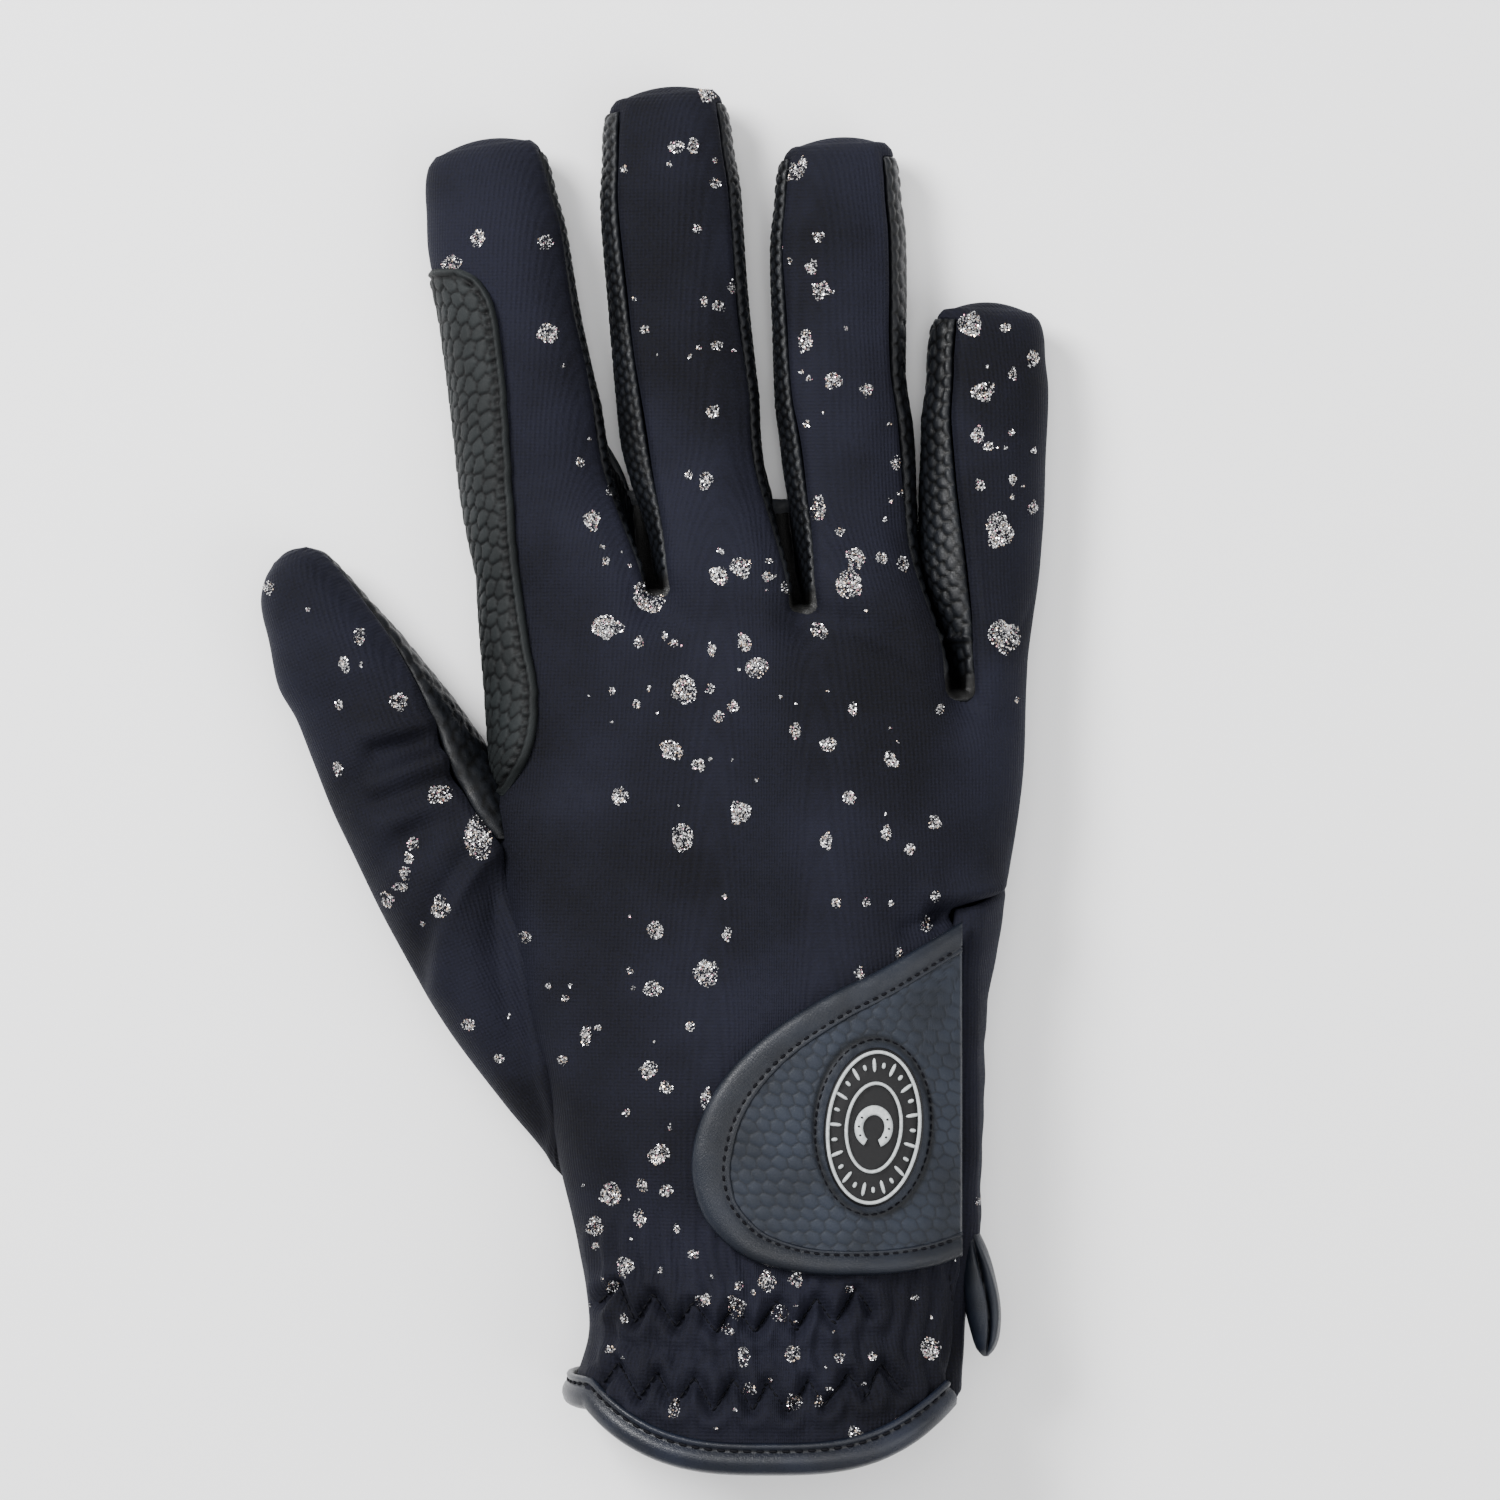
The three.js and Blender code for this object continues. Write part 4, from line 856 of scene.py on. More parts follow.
KNIT = knit("navy_knit", colour(7, 7, 11), colour(25, 26, 37))
# The second colour of each leather is the painted shade of its grooves and recesses
SCALED = leather("scaled_leather", colour(20, 23, 24), colour(1, 1, 2), 0.6, 0.25, 0.18)
# Painted shade: the walls between the fingers and the thumb's leather are a darker copy of the plain palm
# leather, for the shade they lie in
SHADED_SIDE_LEATHER = leather("shaded_side_leather", colour(11, 13, 17), colour(1, 1, 1), 0.42, 0.25, 0.22)
PALM_LEATHER = leather("palm_leather", colour(22, 25, 30), colour(3, 3, 4), 0.55)
TAB_LEATHER = leather("tab_leather", colour(23, 28, 37), colour(6, 8, 12), 0.52, 0.25, 0.22)
EDGE_LEATHER = leather("edge_leather", colour(14, 18, 26), colour(3, 4, 7), 0.38, 0.4, 0.26)
HEM_LEATHER = leather("hem_leather", colour(14, 18, 28), colour(2, 2, 4), 0.32, 0.3)
NAVY_THREAD = thread("navy_thread", colour(3, 3, 7))
BLACK_RUBBER = rubber("black_rubber", colour(7, 7, 9), colour(14, 14, 16), 0.5)
GREY_PRINT = rubber("grey_print", colour(160, 165, 166), colour(190, 194, 194), 0.5)
SILVER = glitter("silver_glitter")

# Folds of the back: two ends in photograph pixels, width and depth in millimetres, a ridge below 0
CREASES = table(
    "x0 y0 x1 y1 width depth",
    (835, 612, 975, 690, 3.2, 1.3),
    (850, 640, 930, 690, 3.0, -0.5),
    (905, 640, 990, 705, 3.0, -0.5),
    (955, 690, 1010, 730, 2.4, 0.9),
    (800, 600, 850, 650, 4.0, 0.8),
    (655, 590, 700, 640, 3.5, 0.6),
    (930, 916, 1010, 908, 1.9, 3.6),
    (900, 930, 945, 915, 1.8, 1.6),
    (920, 890, 1010, 892, 2.4, -1.6),
    (880, 925, 960, 880, 3.2, 0.7),
    (930, 760, 1015, 850, 6.0, 0.6),
    (530, 840, 560, 1100, 4.0, -0.4),
    (600, 690, 760, 860, 12.0, 0.45),
    (700, 900, 880, 760, 12.0, 0.4),
    (585, 1180, 700, 1240, 5.0, 0.6),
    (600, 1130, 690, 1180, 5.0, -0.4),
)

THUMB_CREASES = table(
    "x0 y0 x1 y1 width depth",
    (366, 754, 452, 738, 2.0, 1.5),
    (364, 736, 440, 722, 1.7, -0.9),
    (362, 805, 468, 772, 2.4, 1.8),
    (370, 787, 452, 758, 1.8, -1.1),
    (395, 845, 470, 812, 2.6, 1.0),
    (392, 824, 460, 800, 1.8, -0.7),
    (497, 848, 460, 890, 2.0, -1.7),
    (460, 890, 444, 940, 2.2, -1.5),
    (444, 940, 440, 1000, 2.6, -1.1),
    (475, 850, 436, 905, 2.2, 1.5),
    (430, 910, 414, 985, 2.8, 1.1),
    (502, 870, 500, 960, 4.0, 3.6),
    (500, 960, 520, 1060, 4.0, 3.2),
    (520, 1060, 548, 1140, 3.2, 2.0),
    (330, 700, 395, 690, 3.0, 0.5),
)


def at_photo(x, y):
    """A pixel of the photograph in the glove's plan."""
    x, y = np.asarray(x, float), np.asarray(y, float)
    return (x - PHOTO_MIDDLE) / PHOTO_SCALE, (PHOTO_HEM - y) / PHOTO_SCALE


def creased(points, rows):
    """How far a table's folds raise or sink points."""
    total = np.zeros(len(points))
    for *ends, width, depth in zip(*rows.values()):
        (x0, x1), (y0, y1) = at_photo(ends[::2], ends[1::2])
        length = math.hypot(x1 - x0, y1 - y0)
        along = ((points[:, 0] - x0) * (x1 - x0) + (points[:, 1] - y0) * (y1 - y0)) / length
        aside = ((points[:, 0] - x0) * (y1 - y0) - (points[:, 1] - y0) * (x1 - x0)) / length
        fade = smooth(along / width / 2 + 0.5) * smooth((length - along) / width / 2 + 0.5)
        total -= depth * fade * hump(aside, width)
    return total


# The zigzag rows of elastic across the cuff, in photograph pixels
ZIGZAG_ROWS = [
    {"x": (598, 872), "y": (1287, 1289), "teeth": 7},
    {"x": (603, 900), "y": (1362, 1364), "teeth": 8},
]
ZIGZAG_HEIGHT = 5.2
ZIGZAG_SAG = 4.0
ZIGZAG_WOBBLE = 0.5
# The shirred band of the cuff, from the hem's middle, and the pitch and depth of its gathers
SHIRR_START, SHIRR_END = 9, 47
GATHER_PITCH, GATHER_DEPTH = 3.5, 0.42


def zigzag_path(row):
    corners = np.arange(2 * row["teeth"] + 1)
    share = corners / corners[-1]
    x, y = at_photo(lerp(*row["x"], share), lerp(*row["y"], share))
    own = np.random.default_rng(len(corners))
    wobble = own.uniform(-ZIGZAG_WOBBLE, ZIGZAG_WOBBLE, (2, len(corners)))
    y = y - ZIGZAG_SAG * (1 - (2 * share - 1) ** 2) + np.where(corners % 2, 0.5, -0.5) * ZIGZAG_HEIGHT
    return np.stack([x + wobble[0], y + wobble[1]], 1)


ZIGZAGS = [resample(zigzag_path(row), 0.4) for row in ZIGZAG_ROWS]


def level(flat):
    """Plan points at height 0."""
    return np.concatenate([flat, flat[..., :1] * 0], -1)


def shirred(points):
    """Puckers round the zigzag rows of the cuff."""
    near = np.flatnonzero((points[:, 1] < SHIRR_END + 3) & (points[:, 2] > HAND_THICKNESS / 3))
    gap = distance_to(level(points[near, :2]), level(np.concatenate(ZIGZAGS)))
    x, y = points[near, 0], points[near, 1]
    gathers = np.sin(2 * np.pi * x / GATHER_PITCH + 1.3 * np.sin(0.35 * y) + 0.8 * np.sin(0.21 * x))
    window = smooth((y - SHIRR_START) / 6) * smooth((SHIRR_END - y) / 8)
    total = np.zeros(len(points))
    total[near] -= 1.7 * hump(gap, 0.8)
    total[near] += 0.9 * hump(gap - 2.3, 1.3)
    total[near] += GATHER_DEPTH * gathers * window
    return total


# The fabric back, with the grid's counts across a finger, up a wall, along the hand and along a finger
ACROSS, WEB, UP, CUFF_ROWS, VENT_ROWS, KNUCKLE_ROWS, ALONG, TIP_ROWS = 32, 3, 14, 84, 130, 72, 78, 4
CUFF_LENGTH = 40


def hand_rows():
    share, root, _ = finger_columns(3, 1, "back")
    vent = VENT_LENGTH / (root - hem_of(share, "back"))
    cuff = vent * CUFF_LENGTH / VENT_LENGTH
    low = np.concatenate([np.linspace(0, cuff, CUFF_ROWS + 1)[:-1],
                          np.linspace(cuff, vent, VENT_ROWS - CUFF_ROWS + 1)])
    return np.concatenate([low[:-1], np.linspace(vent, 1, KNUCKLE_ROWS + 1)])[:, None]


def all_columns(across, web, side):
    """Every column of the hand in order, each as share, root and place at the root."""
    parts = []
    for f in range(4):
        parts.append(finger_columns(f, shares(across), side))
        if f < 3:
            parts.append(web_columns(f, shares(web)[1:-1], side))
    return [np.concatenate([p[k] for p in parts]) for k in range(3)]


def tip_patch(f, across, up):
    """The bulging end of a finger, rows from its back to its palm."""
    u, w = shares(across), shares(up)
    end = np.ones(1)
    back, palm = finger_face(f, u, end, "back"), finger_face(f, u, end, "palm")
    left, right = finger_side(f, -1, w, end), finger_side(f, 1, w, end)
    upright = lerp(back[None], palm[None], w[:, None, None])
    level = lerp(left[:, None], right[:, None], u[None, :, None])
    swell = TIP_BULGE * (1 - (2 * u[None] - 1) ** 2) * (1 - (2 * w[:, None] - 1) ** 2)
    _, ahead, _ = finger_axis(FINGERS[f])
    grid = lerp(upright, level, 0.5) + swell[..., None] * np.append(ahead, 0)
    grid[0], grid[-1], grid[:, 0], grid[:, -1] = back, palm, left, right
    return grid


rows = hand_rows()
back_columns = all_columns(ACROSS, WEB, "back")
hand_back = hand_face(back_columns, rows, "back")
w_up = shares(UP)
left_wall = hand_side(-1, w_up[::-1], rows)
right_wall = hand_side(1, w_up, rows)
walled = np.linspace(0, WALL_END, ALONG + 1)[:, None]
beyond = np.linspace(WALL_END, 1, TIP_ROWS + 1)[:, None]
whole = np.concatenate([walled, beyond[1:]])

patches = [hand_back, left_wall, right_wall[VENT_ROWS:]]
for f in range(4):
    patches.append(finger_face(f, shares(ACROSS), whole, "back"))
    patches.append(finger_side(f, -1, w_up[::-1], whole if f == 0 else beyond))
    patches.append(finger_side(f, 1, w_up, whole if f == 3 else beyond))
    patches.append(tip_patch(f, ACROSS, UP))


def plan_weave(points, lean=0.0):
    """The knit's own coordinates: across the ribs, on down the sides, and along them."""
    x = points[:, 0] * math.cos(lean) + points[:, 1] * math.sin(lean)
    y = points[:, 1] * math.cos(lean) - points[:, 0] * math.sin(lean)
    return np.column_stack([x - 0.8 * np.tanh(points[:, 0] / 8) * points[:, 2], y, np.zeros(len(points))])


def tree_of(points, quads):
    """A surface for rays to meet, of a sheet or of a plate's outer sheet."""
    return BVHTree.FromPolygons(points.tolist(), quads.tolist())


def near_tips(points):
    """How far points lie past the ends of the fingers' side walls, 0 to 1."""
    past = np.zeros(len(points))
    for finger in FINGERS:
        root, ahead, aside = finger_axis(finger)
        along = (points[:, :2] - root) @ ahead / finger["length"]
        beside = np.abs((points[:, :2] - root) @ aside) / (FINGER_WIDTH * 0.62)
        past = np.maximum(past, smooth((along - WALL_END + 0.03) / 0.03) * smooth((1 - beside) * 8))
    return past


points, quads, _ = weld(patches)
sink, seam_gap = seam_sink(points, quads, 1.0, 0.95)
sink = sink * lerp(1.0, 0.35, near_tips(points))
flat_part = smooth(normals_of(points, quads)[:, 2] * 1.5)
up = sink + (creased(points, CREASES) + shirred(points)) * flat_part + 0.14 * ripple(points, 23, 3)
up = up + 0.3 * hump(seam_gap - 2.2, 1.1) * flat_part
back_points, back_quads = shell(points, quads, up, FABRIC_WALL)
make("glove_back", back_points, back_quads, KNIT, "navy_knit", ["back_panel"], weave=plan_weave(points))
back_outer = tree_of(back_points, quads)
bare_outer = tree_of(points, quads)

# The strip beside the slit
points, quads, _ = weld([right_wall[:VENT_ROWS + 1]])
sink, _ = seam_sink(points, quads, 0.8, 0.9)
slit = distance_to(points, right_wall[:VENT_ROWS + 1, 0])
up = sink - 1.5 * hump(slit, 1.6) + 0.35 * hump(slit - 3.4, 1.4) + 0.12 * ripple(points, 9, 5)
strip_points, strip_quads = shell(points, quads, up, FABRIC_WALL)
make("glove_vent_strip", strip_points, strip_quads, KNIT, "navy_knit", ["vent_strip"],
     weave=plan_weave(points))
strip_outer = tree_of(strip_points, quads)

# The leather palm
PALM_ACROSS, PALM_ROWS, PALM_ALONG = 12, 90, 56
# Leather this near the floor lies flat on it
RESTING = 0.6
palm_columns = all_columns(PALM_ACROSS, 2, "palm")
palm_rows = shares(PALM_ROWS)[:, None]
stations = shares(PALM_ALONG)[:, None]
patches = [hand_face(palm_columns, palm_rows, "palm")[:, ::-1]]
for f in range(4):
    patches.append(finger_face(f, shares(PALM_ACROSS), stations, "palm")[:, ::-1])
points, quads, _ = weld(patches)
sink, _ = seam_sink(points, quads, 0.5, 0.9)
palm_points, palm_quads = shell(points, quads, np.where(points[:, 2] < RESTING, 0, sink), LEATHER_WALL)
make("glove_palm", palm_points, palm_quads, PALM_LEATHER, "plain_leather", ["palm_panel"],
     groove=np.zeros(len(points)))

# The scaled leather walls between the fingers
SIDE_ALONG, SIDE_UP, SIDE_WEB = 190, 38, 8


def scaled(q, r, gap, size, depth, seed, jitter=0.35, line=0.42, plain=1.3, bulging=0.3, tilt=0.3):
    """Height of scaled leather and the depth of its grooves, which also sets their painted shade; it turns
    smooth towards its edges.
    """
    edge, within = cells(q, r, size, jitter, seed)
    groove = 1 - smooth(edge / line)
    shown = smooth((gap - plain * 0.4) / plain)
    dome = smooth(edge / (0.42 * size))
    return depth * (bulging * dome - tilt * within - groove) * shown, groove * shown


STEEP_SHARE = 0.55


def across_wall(patch, start_first):
    """How far each point of a wall lies from the back's seam, measured on the leather."""
    ordered = patch if start_first else patch[:, ::-1]
    step = np.diff(ordered, axis=1)
    run = summed(np.hypot(step[..., 0], step[..., 1]) + STEEP_SHARE * np.abs(step[..., 2]))
    return run if start_first else run[:, ::-1]


WALL_SCALES = (2.1, 2.1, 2.7)
# The stitched hem at the foot of the little finger's wall, and its ends across in photograph pixels
LITTLE_HEM = 142.6
LITTLE_HEM_RIDGE = LITTLE_HEM + 0.9
LITTLE_HEM_ENDS = (926, 966)
stations = np.linspace(0, WALL_END, SIDE_ALONG + 1)[:, None]
w = shares(SIDE_UP)
g = shares(SIDE_WEB)[:, None]
for f in range(3):
    web = web_edge(
        [np.asarray(c) for c in web_columns(f, g, "back")],
        [np.asarray(c) for c in web_columns(f, g, "palm")],
        np.broadcast_to(w, (SIDE_WEB + 1, len(w))),
    )
    right = finger_side(f, 1, w, stations)
    left = finger_side(f + 1, -1, w[::-1], stations)
    patches = [right, left, web[::-1]]
    points, quads, first = weld(patches)
    run = np.concatenate([across_wall(p, k != 1).ravel() for k, p in enumerate(patches)])[first]
    sink, gap = seam_sink(points, quads, 0.5, 0.55)
    sink = sink * lerp(1.0, 0.4, near_tips(points))
    size = WALL_SCALES[f]
    height, groove = scaled(points[:, 1], run + 0.2 * size, gap, size, 0.3, 41 + f, plain=0.35)
    # Painted shade: the crotch's pocket and the web at its floor are painted fully dark for the shadow
    # there, sink deeper and lose their scales
    clear_of_shaded_pocket = smooth((points[:, 1] - HAND_LENGTH * ROOTS["back_y"][f + 1] - 1.0) / 3)
    clear_of_shaded_pocket = clear_of_shaded_pocket * (first < right[..., 0].size + left[..., 0].size)
    height, groove = height * clear_of_shaded_pocket, lerp(1.0, groove, clear_of_shaded_pocket)
    sink = sink * lerp(3.0, 1.0, clear_of_shaded_pocket)
    if f == 2:
        hem_gap = np.abs(points[:, 1] - LITTLE_HEM)
        folded = smooth((hem_gap - 0.5) / 0.5)
        height = height * folded + 0.6 * hump(points[:, 1] - LITTLE_HEM_RIDGE, 0.5)
        # Painted shade along the hem's fold line, below its ridge
        groove = np.maximum(groove * folded, hump(hem_gap, 0.3))
    side_points, side_quads = shell(points, quads, sink + height, LEATHER_WALL)
    wall_outer = tree_of(side_points, quads)
    name = f"fourchette_{FINGERS[f]['name']}_{FINGERS[f + 1]['name']}"
    make(f"glove_{name}", side_points, side_quads, SHADED_SIDE_LEATHER, "plain_leather", [name], groove=groove)


# The thumb
def thumb_point(share, angle):
    ahead, aside = ways_of(THUMB_LEAN)
    outer = -THUMB_WIDTH * read(THUMB_SECTIONS, "outer", share)
    inner = THUMB_WIDTH * read(THUMB_SECTIONS, "inner", share)
    height = THUMB_THICKNESS * read(THUMB_SECTIONS, "height", share)
    across = bulge(np.cos(angle), THUMB_ROUNDNESS)
    upper = np.sin(angle) > 0
    fold = 0
    for along, slant, depth, width in zip(*THUMB_FOLDS.values()):
        fold = fold + THUMB_FOLD_DEPTH * depth * hump(share - along - slant * (1 - across) / 2, width)
    lift = (THUMB_THICKNESS - height) / 2 * smooth((share - 0.8) / 0.2)
    z = lift + height_at(across, height, THUMB_ROUNDNESS, upper) - np.where(upper, fold * np.sin(angle), 0)
    sideways = (outer + inner) / 2 + across * (inner - outer) / 2
    root = np.array([HAND_HALF_WIDTH * THUMB_ROOT[0], HAND_LENGTH * THUMB_ROOT[1]])
    plan = root + (share * THUMB_LENGTH)[..., None] * ahead + sideways[..., None] * aside
    return stack(plan[..., 0], plan[..., 1], z)


def in_hand(points, room):
    """How deep points lie inside the hand, above 0 inside, with room to spare."""
    x, y, z = points[..., 0], points[..., 1], points[..., 2]
    left, right, height = hand_section(y)
    left = left - wrap_room(y) - room
    share = np.clip((2 * x - left - right) / (right - left), -1, 1)
    top = height_at(share, height, HAND_ROUNDNESS, True) + room
    low = height_at(share, height, HAND_ROUNDNESS, False) - room
    return np.minimum(np.minimum(top - z, z - low), x - left)


# Where the thumb's fabric meets its leather on the side by the hand: degrees up from level, by share
THUMB_SEAM = table(
    "along angle",
    (0.0, 14),
    (0.36, 16),
    (0.47, 46),
    (0.58, 60),
    (0.7, 50),
    (0.82, 27),
    (0.92, 14),
    (1.0, 12),
)
THUMB_ROWS, THUMB_AROUND, THUMB_FINE = 150, 64, 721


def thumb_grid(hand_at_end):
    """The thumb's fabric, or its leather, each row trimmed where it meets the hand."""
    share = 1 - (1 - shares(THUMB_ROWS)) ** 1.25
    lines = []
    for s in share:
        seam = float(read(THUMB_SEAM, "angle", np.array(s)))
        ends = (THUMB_BACK_END, 360 + seam) if hand_at_end else (seam, THUMB_BACK_END)
        angles = np.radians(np.linspace(*ends, THUMB_FINE))
        line = thumb_point(np.full(len(angles), s), angles)
        inside = in_hand(line, LAP_GAP) > 0
        kept = line[:len(line) - np.argmin(inside[::-1])] if hand_at_end else line[np.argmin(inside):]
        if len(kept) >= 8 and not inside.all():
            lines.append(evenly(kept, THUMB_AROUND + 1))
    return np.array(lines)


def closed_tip(grid):
    """Rows that draw the last row of a thumb part in to the middle of the tip."""
    last = thumb_point(np.ones(181), np.radians(np.linspace(0, 360, 181))).mean(0)
    ahead = np.append(ways_of(THUMB_LEAN)[0], 0)
    extra = []
    for k in np.linspace(0.15, 0.995, 9):
        extra.append(lerp(grid[-1], last + ahead * 1.3 * math.sqrt(1 - (1 - k) ** 2), k))
    return np.concatenate([grid, np.array(extra)])


for name, material, slot in (
    ("thumb_back", KNIT, "navy_knit"),
    ("thumb_palm", SHADED_SIDE_LEATHER, "plain_leather"),
):
    grid = closed_tip(thumb_grid(name == "thumb_palm"))
    points, quads, first = weld([grid[:, ::-1]])
    facing = normals_of(points, quads)
    sink, gap = seam_sink(points, quads, 0.7, 0.9)
    if name == "thumb_back":
        up = sink + 0.16 * ripple(points, 17, 8) + 0.22 * hump(gap - 2.2, 1.1)
        up = up + creased(points, THUMB_CREASES) * smooth(facing[:, 2] * 2)
        groove = np.zeros(len(points))
    else:
        run = row_runs(grid)
        run = (run[:, -1:] - run)[:, ::-1].ravel()[first]
        height, groove = scaled(points[:, 1], run, gap, 2.8, 0.25, 77, plain=0.5, bulging=0.55, tilt=0.0)
        clear = smooth((points[:, 2] - 1.0) / 2.0)
        up = np.where(points[:, 2] < 0.8, 0, sink + height * clear)
    part_points, part_quads = shell(points, quads, up, FABRIC_WALL)
    weave = plan_weave(points, math.radians(THUMB_LEAN))
    make(f"glove_{name}", part_points, part_quads, material, slot, [name], weave=weave, groove=groove)
    if name == "thumb_back":
        thumb_outer = tree_of(part_points, quads)


def drop(x, y, trees):
    """The highest point under a plan point on some surfaces, with its normal."""
    best = None
    for tree in trees:
        place, normal, _, _ = tree.ray_cast(Vector((x, y, 100.0)), Vector((0, 0, -1)))
        if place is not None and (best is None or place[2] > best[0][2]):
            best = (np.array(place), np.array(normal) * (1 if normal[2] > 0 else -1))
    return best


def draped(plan, trees):
    """The points on some surfaces under plan points, with their normals."""
    found = [hit for hit in (drop(x, y, trees) for x, y in plan) if hit is not None]
    return np.array([place for place, _ in found]), np.array([normal for _, normal in found])


# Stitches
def capsule():
    """A rounded stitch along X, one unit long and one unit across, as points and quads."""
    stations = np.array([(-0.5, 0.3), (-0.36, 0.85), (-0.12, 1.0), (0.12, 1.0), (0.36, 0.85), (0.5, 0.3)])
    angles = np.arange(6) * np.pi / 3
    points = [(x, r * math.cos(a) / 2, r * math.sin(a) / 2) for x, r in stations for a in angles]
    quads = [(6 * k + i, 6 * k + (i + 1) % 6, 6 * k + 6 + (i + 1) % 6, 6 * k + 6 + i)
             for k in range(5) for i in range(6)]
    points += [(-0.52, 0, 0), (0.52, 0, 0)]
    tris = [(36, (i + 1) % 6, i) for i in range(6)] + [(37, 30 + i, 30 + (i + 1) % 6) for i in range(6)]
    return np.array(points), np.array(quads)[:, ::-1], np.array(tris)[:, ::-1]


def stitches(path, normals, pitch, width=0.42, fill=0.7, sink=0.02):
    """Stitches one pitch apart on a path of points with normals, as points, quads and triangles."""
    run = run_of(path)
    at = np.arange(pitch / 2, run[-1], pitch)
    centre, up = at_run(at, run, path), at_run(at, run, normals)
    way = unit(at_run(at + pitch * 0.3, run, path) - at_run(at - pitch * 0.3, run, path))
    up = unit(up - way * (up * way).sum(1, keepdims=True))
    side = np.cross(up, way)
    form, quads, tris = capsule()
    points = (
        centre[:, None]
        - up[:, None] * sink
        + way[:, None] * (form[:, 0] * pitch * fill)[None, :, None]
        + side[:, None] * (form[:, 1] * width)[None, :, None]
        + up[:, None] * (form[:, 2] * width)[None, :, None]
    )
    count, size = points.shape[:2]
    shift = (np.arange(count) * size)[:, None, None]
    return points.reshape(-1, 3), (quads + shift).reshape(-1, 4), (tris + shift).reshape(-1, 3)


def join(parts):
    """Several (points, quads, triangles) as one."""
    points, quads, tris, start = [], [], [], 0
    for p, q, t in parts:
        points.append(p)
        quads.append(q + start)
        tris.append(t + start)
        start += len(p)
    return np.concatenate(points), [np.concatenate(quads), np.concatenate(tris)]


# The lapped leather on the index finger
WRAP_ROWS, WRAP_AROUND = 300, 64
WRAP_SCALES = 2.9
WRAP_SCALE_LEAN = 0.45
WRAP_SEAM = 1.4
EDGE_STITCH = 1.7
start_y = HAND_LENGTH * WRAP_START


def thumb_side_edge(y):
    root, ahead, _ = finger_axis(FINGERS[0])
    share = (y - root[1]) / (ahead[1] * FINGERS[0]["length"])
    if share < 0:
        return float(hand_section(np.array(y))[0])
    return float(finger_surface(0, np.array(share), np.array(-1.0), True)[0])


def wrap_line(along):
    """One crosswise line of the lapped leather, from its free edge on top to its lower edge."""
    y = start_y + along * WRAP_LENGTH
    edge = thumb_side_edge(y)
    free = at_photo(float(read(WRAP_BORDER, "across", np.array(PHOTO_HEM - y * PHOTO_SCALE))), 0)[0]
    centre = Vector((edge + WRAP_WIDTH * 1.25, y, FINGER_THICKNESS * 0.5))
    line, ways = [], []
    for angle in np.radians(np.linspace(75, 235, 150)):
        way = Vector((math.cos(angle), 0, math.sin(angle)))
        place, normal, _, _ = bare_outer.ray_cast(centre + way * 60, -way)
        if place is None:
            continue
        line.append(place[:])
        ways.append((normal if normal.dot(way) > 0 else -normal)[:])
    line, ways = np.array(line), np.array(ways)
    keep = (line[:, 0] <= free) & (line[:, 2] >= WRAP_FLOOR)
    line, ways = line[keep], ways[keep]
    return evenly(line, WRAP_AROUND + 1), evenly(line, WRAP_AROUND + 1, ways)


grid, ways = np.array([wrap_line(a) for a in shares(WRAP_ROWS)]).transpose(1, 0, 2, 3)
for _ in range(6):
    eased(ways, 1)
    eased(ways.transpose(1, 0, 2), 1)
    eased(grid[1:-1], 1)
ways = unit(ways)
from_end = WRAP_LENGTH * np.minimum(shares(WRAP_ROWS), 1 - shares(WRAP_ROWS))
raised = lerp(0.42, 1.0, smooth(from_end / 6)) * (LAP_GAP + LEATHER_WALL)
surface = grid + ways * raised[:, None, None]
points, quads, first = weld([surface[:, ::-1]])
edge_gap = distance_to(points, points[np.unique(open_edges(quads))])
run = row_runs(surface)[:, ::-1].ravel()[first]
height, groove = scaled(points[:, 1] + WRAP_SCALE_LEAN * run, run, edge_gap, WRAP_SCALES, 0.3, 5,
                        jitter=0.45, line=0.3, bulging=0.2, tilt=0.55)
rolled = -0.75 * hump(edge_gap, 0.35) + 0.16 * hump(edge_gap - 0.6, 0.3)
pleat = 0.72 + 0.28 * np.sin(2 * np.pi * points[:, 1] / EDGE_STITCH)
sewn = hump(edge_gap - WRAP_SEAM - 0.18 * np.sin(3.7 * points[:, 1]), 0.5) * pleat
rolled = rolled - 0.6 * sewn
# Painted shade: the sewn line's puckers are darkened as well as sunk
groove = np.maximum(groove, np.minimum(1.4 * sewn, 1))
under = grid[:, ::-1].reshape(-1, 3)[first] + ways[:, ::-1].reshape(-1, 3)[first] * LAP_GAP / 2
over = points + normals_of(points, quads) * (rolled + height)[:, None]
wrap_points, wrap_quads = between(over, under, quads)
make("glove_index_wrap", wrap_points, wrap_quads, SCALED, "scaled_leather", ["index_wrap"], groove=groove)
thread_parts = []


# The wrist tab: a surface over the hand's back, its curved free edge and its right edge at the slit
def over_back(x, y, up):
    """Points over a plan point, at a height above the hand's back, and the back's own direction there."""

    def top_at(a, b):
        left, right, height = hand_section(b)
        across = np.clip((2 * a - left - right) / (right - left), -0.97, 0.97)
        return height_at(across, height, HAND_ROUNDNESS, True)

    step = 0.5
    z = top_at(x, y)
    slope_x = (top_at(x + step, y) - top_at(x - step, y)) / (2 * step)
    slope_y = (top_at(x, y + step) - top_at(x, y - step)) / (2 * step)
    normal = unit(stack(-slope_x, -slope_y, np.ones_like(z)))
    return stack(x, y, z + np.asarray(up) / normal[..., 2]), normal


foot_x, foot_y = HAND_HALF_WIDTH * TAB_FOOT[0], HAND_LENGTH * TAB_FOOT[1]
corner_x = foot_x - TAB_OUTLINE["along"] * TAB_LENGTH
corner_y = foot_y + TAB_OUTLINE["across"] * TAB_WIDTH
TAB_TOP = LAP_GAP + TAB_WALL


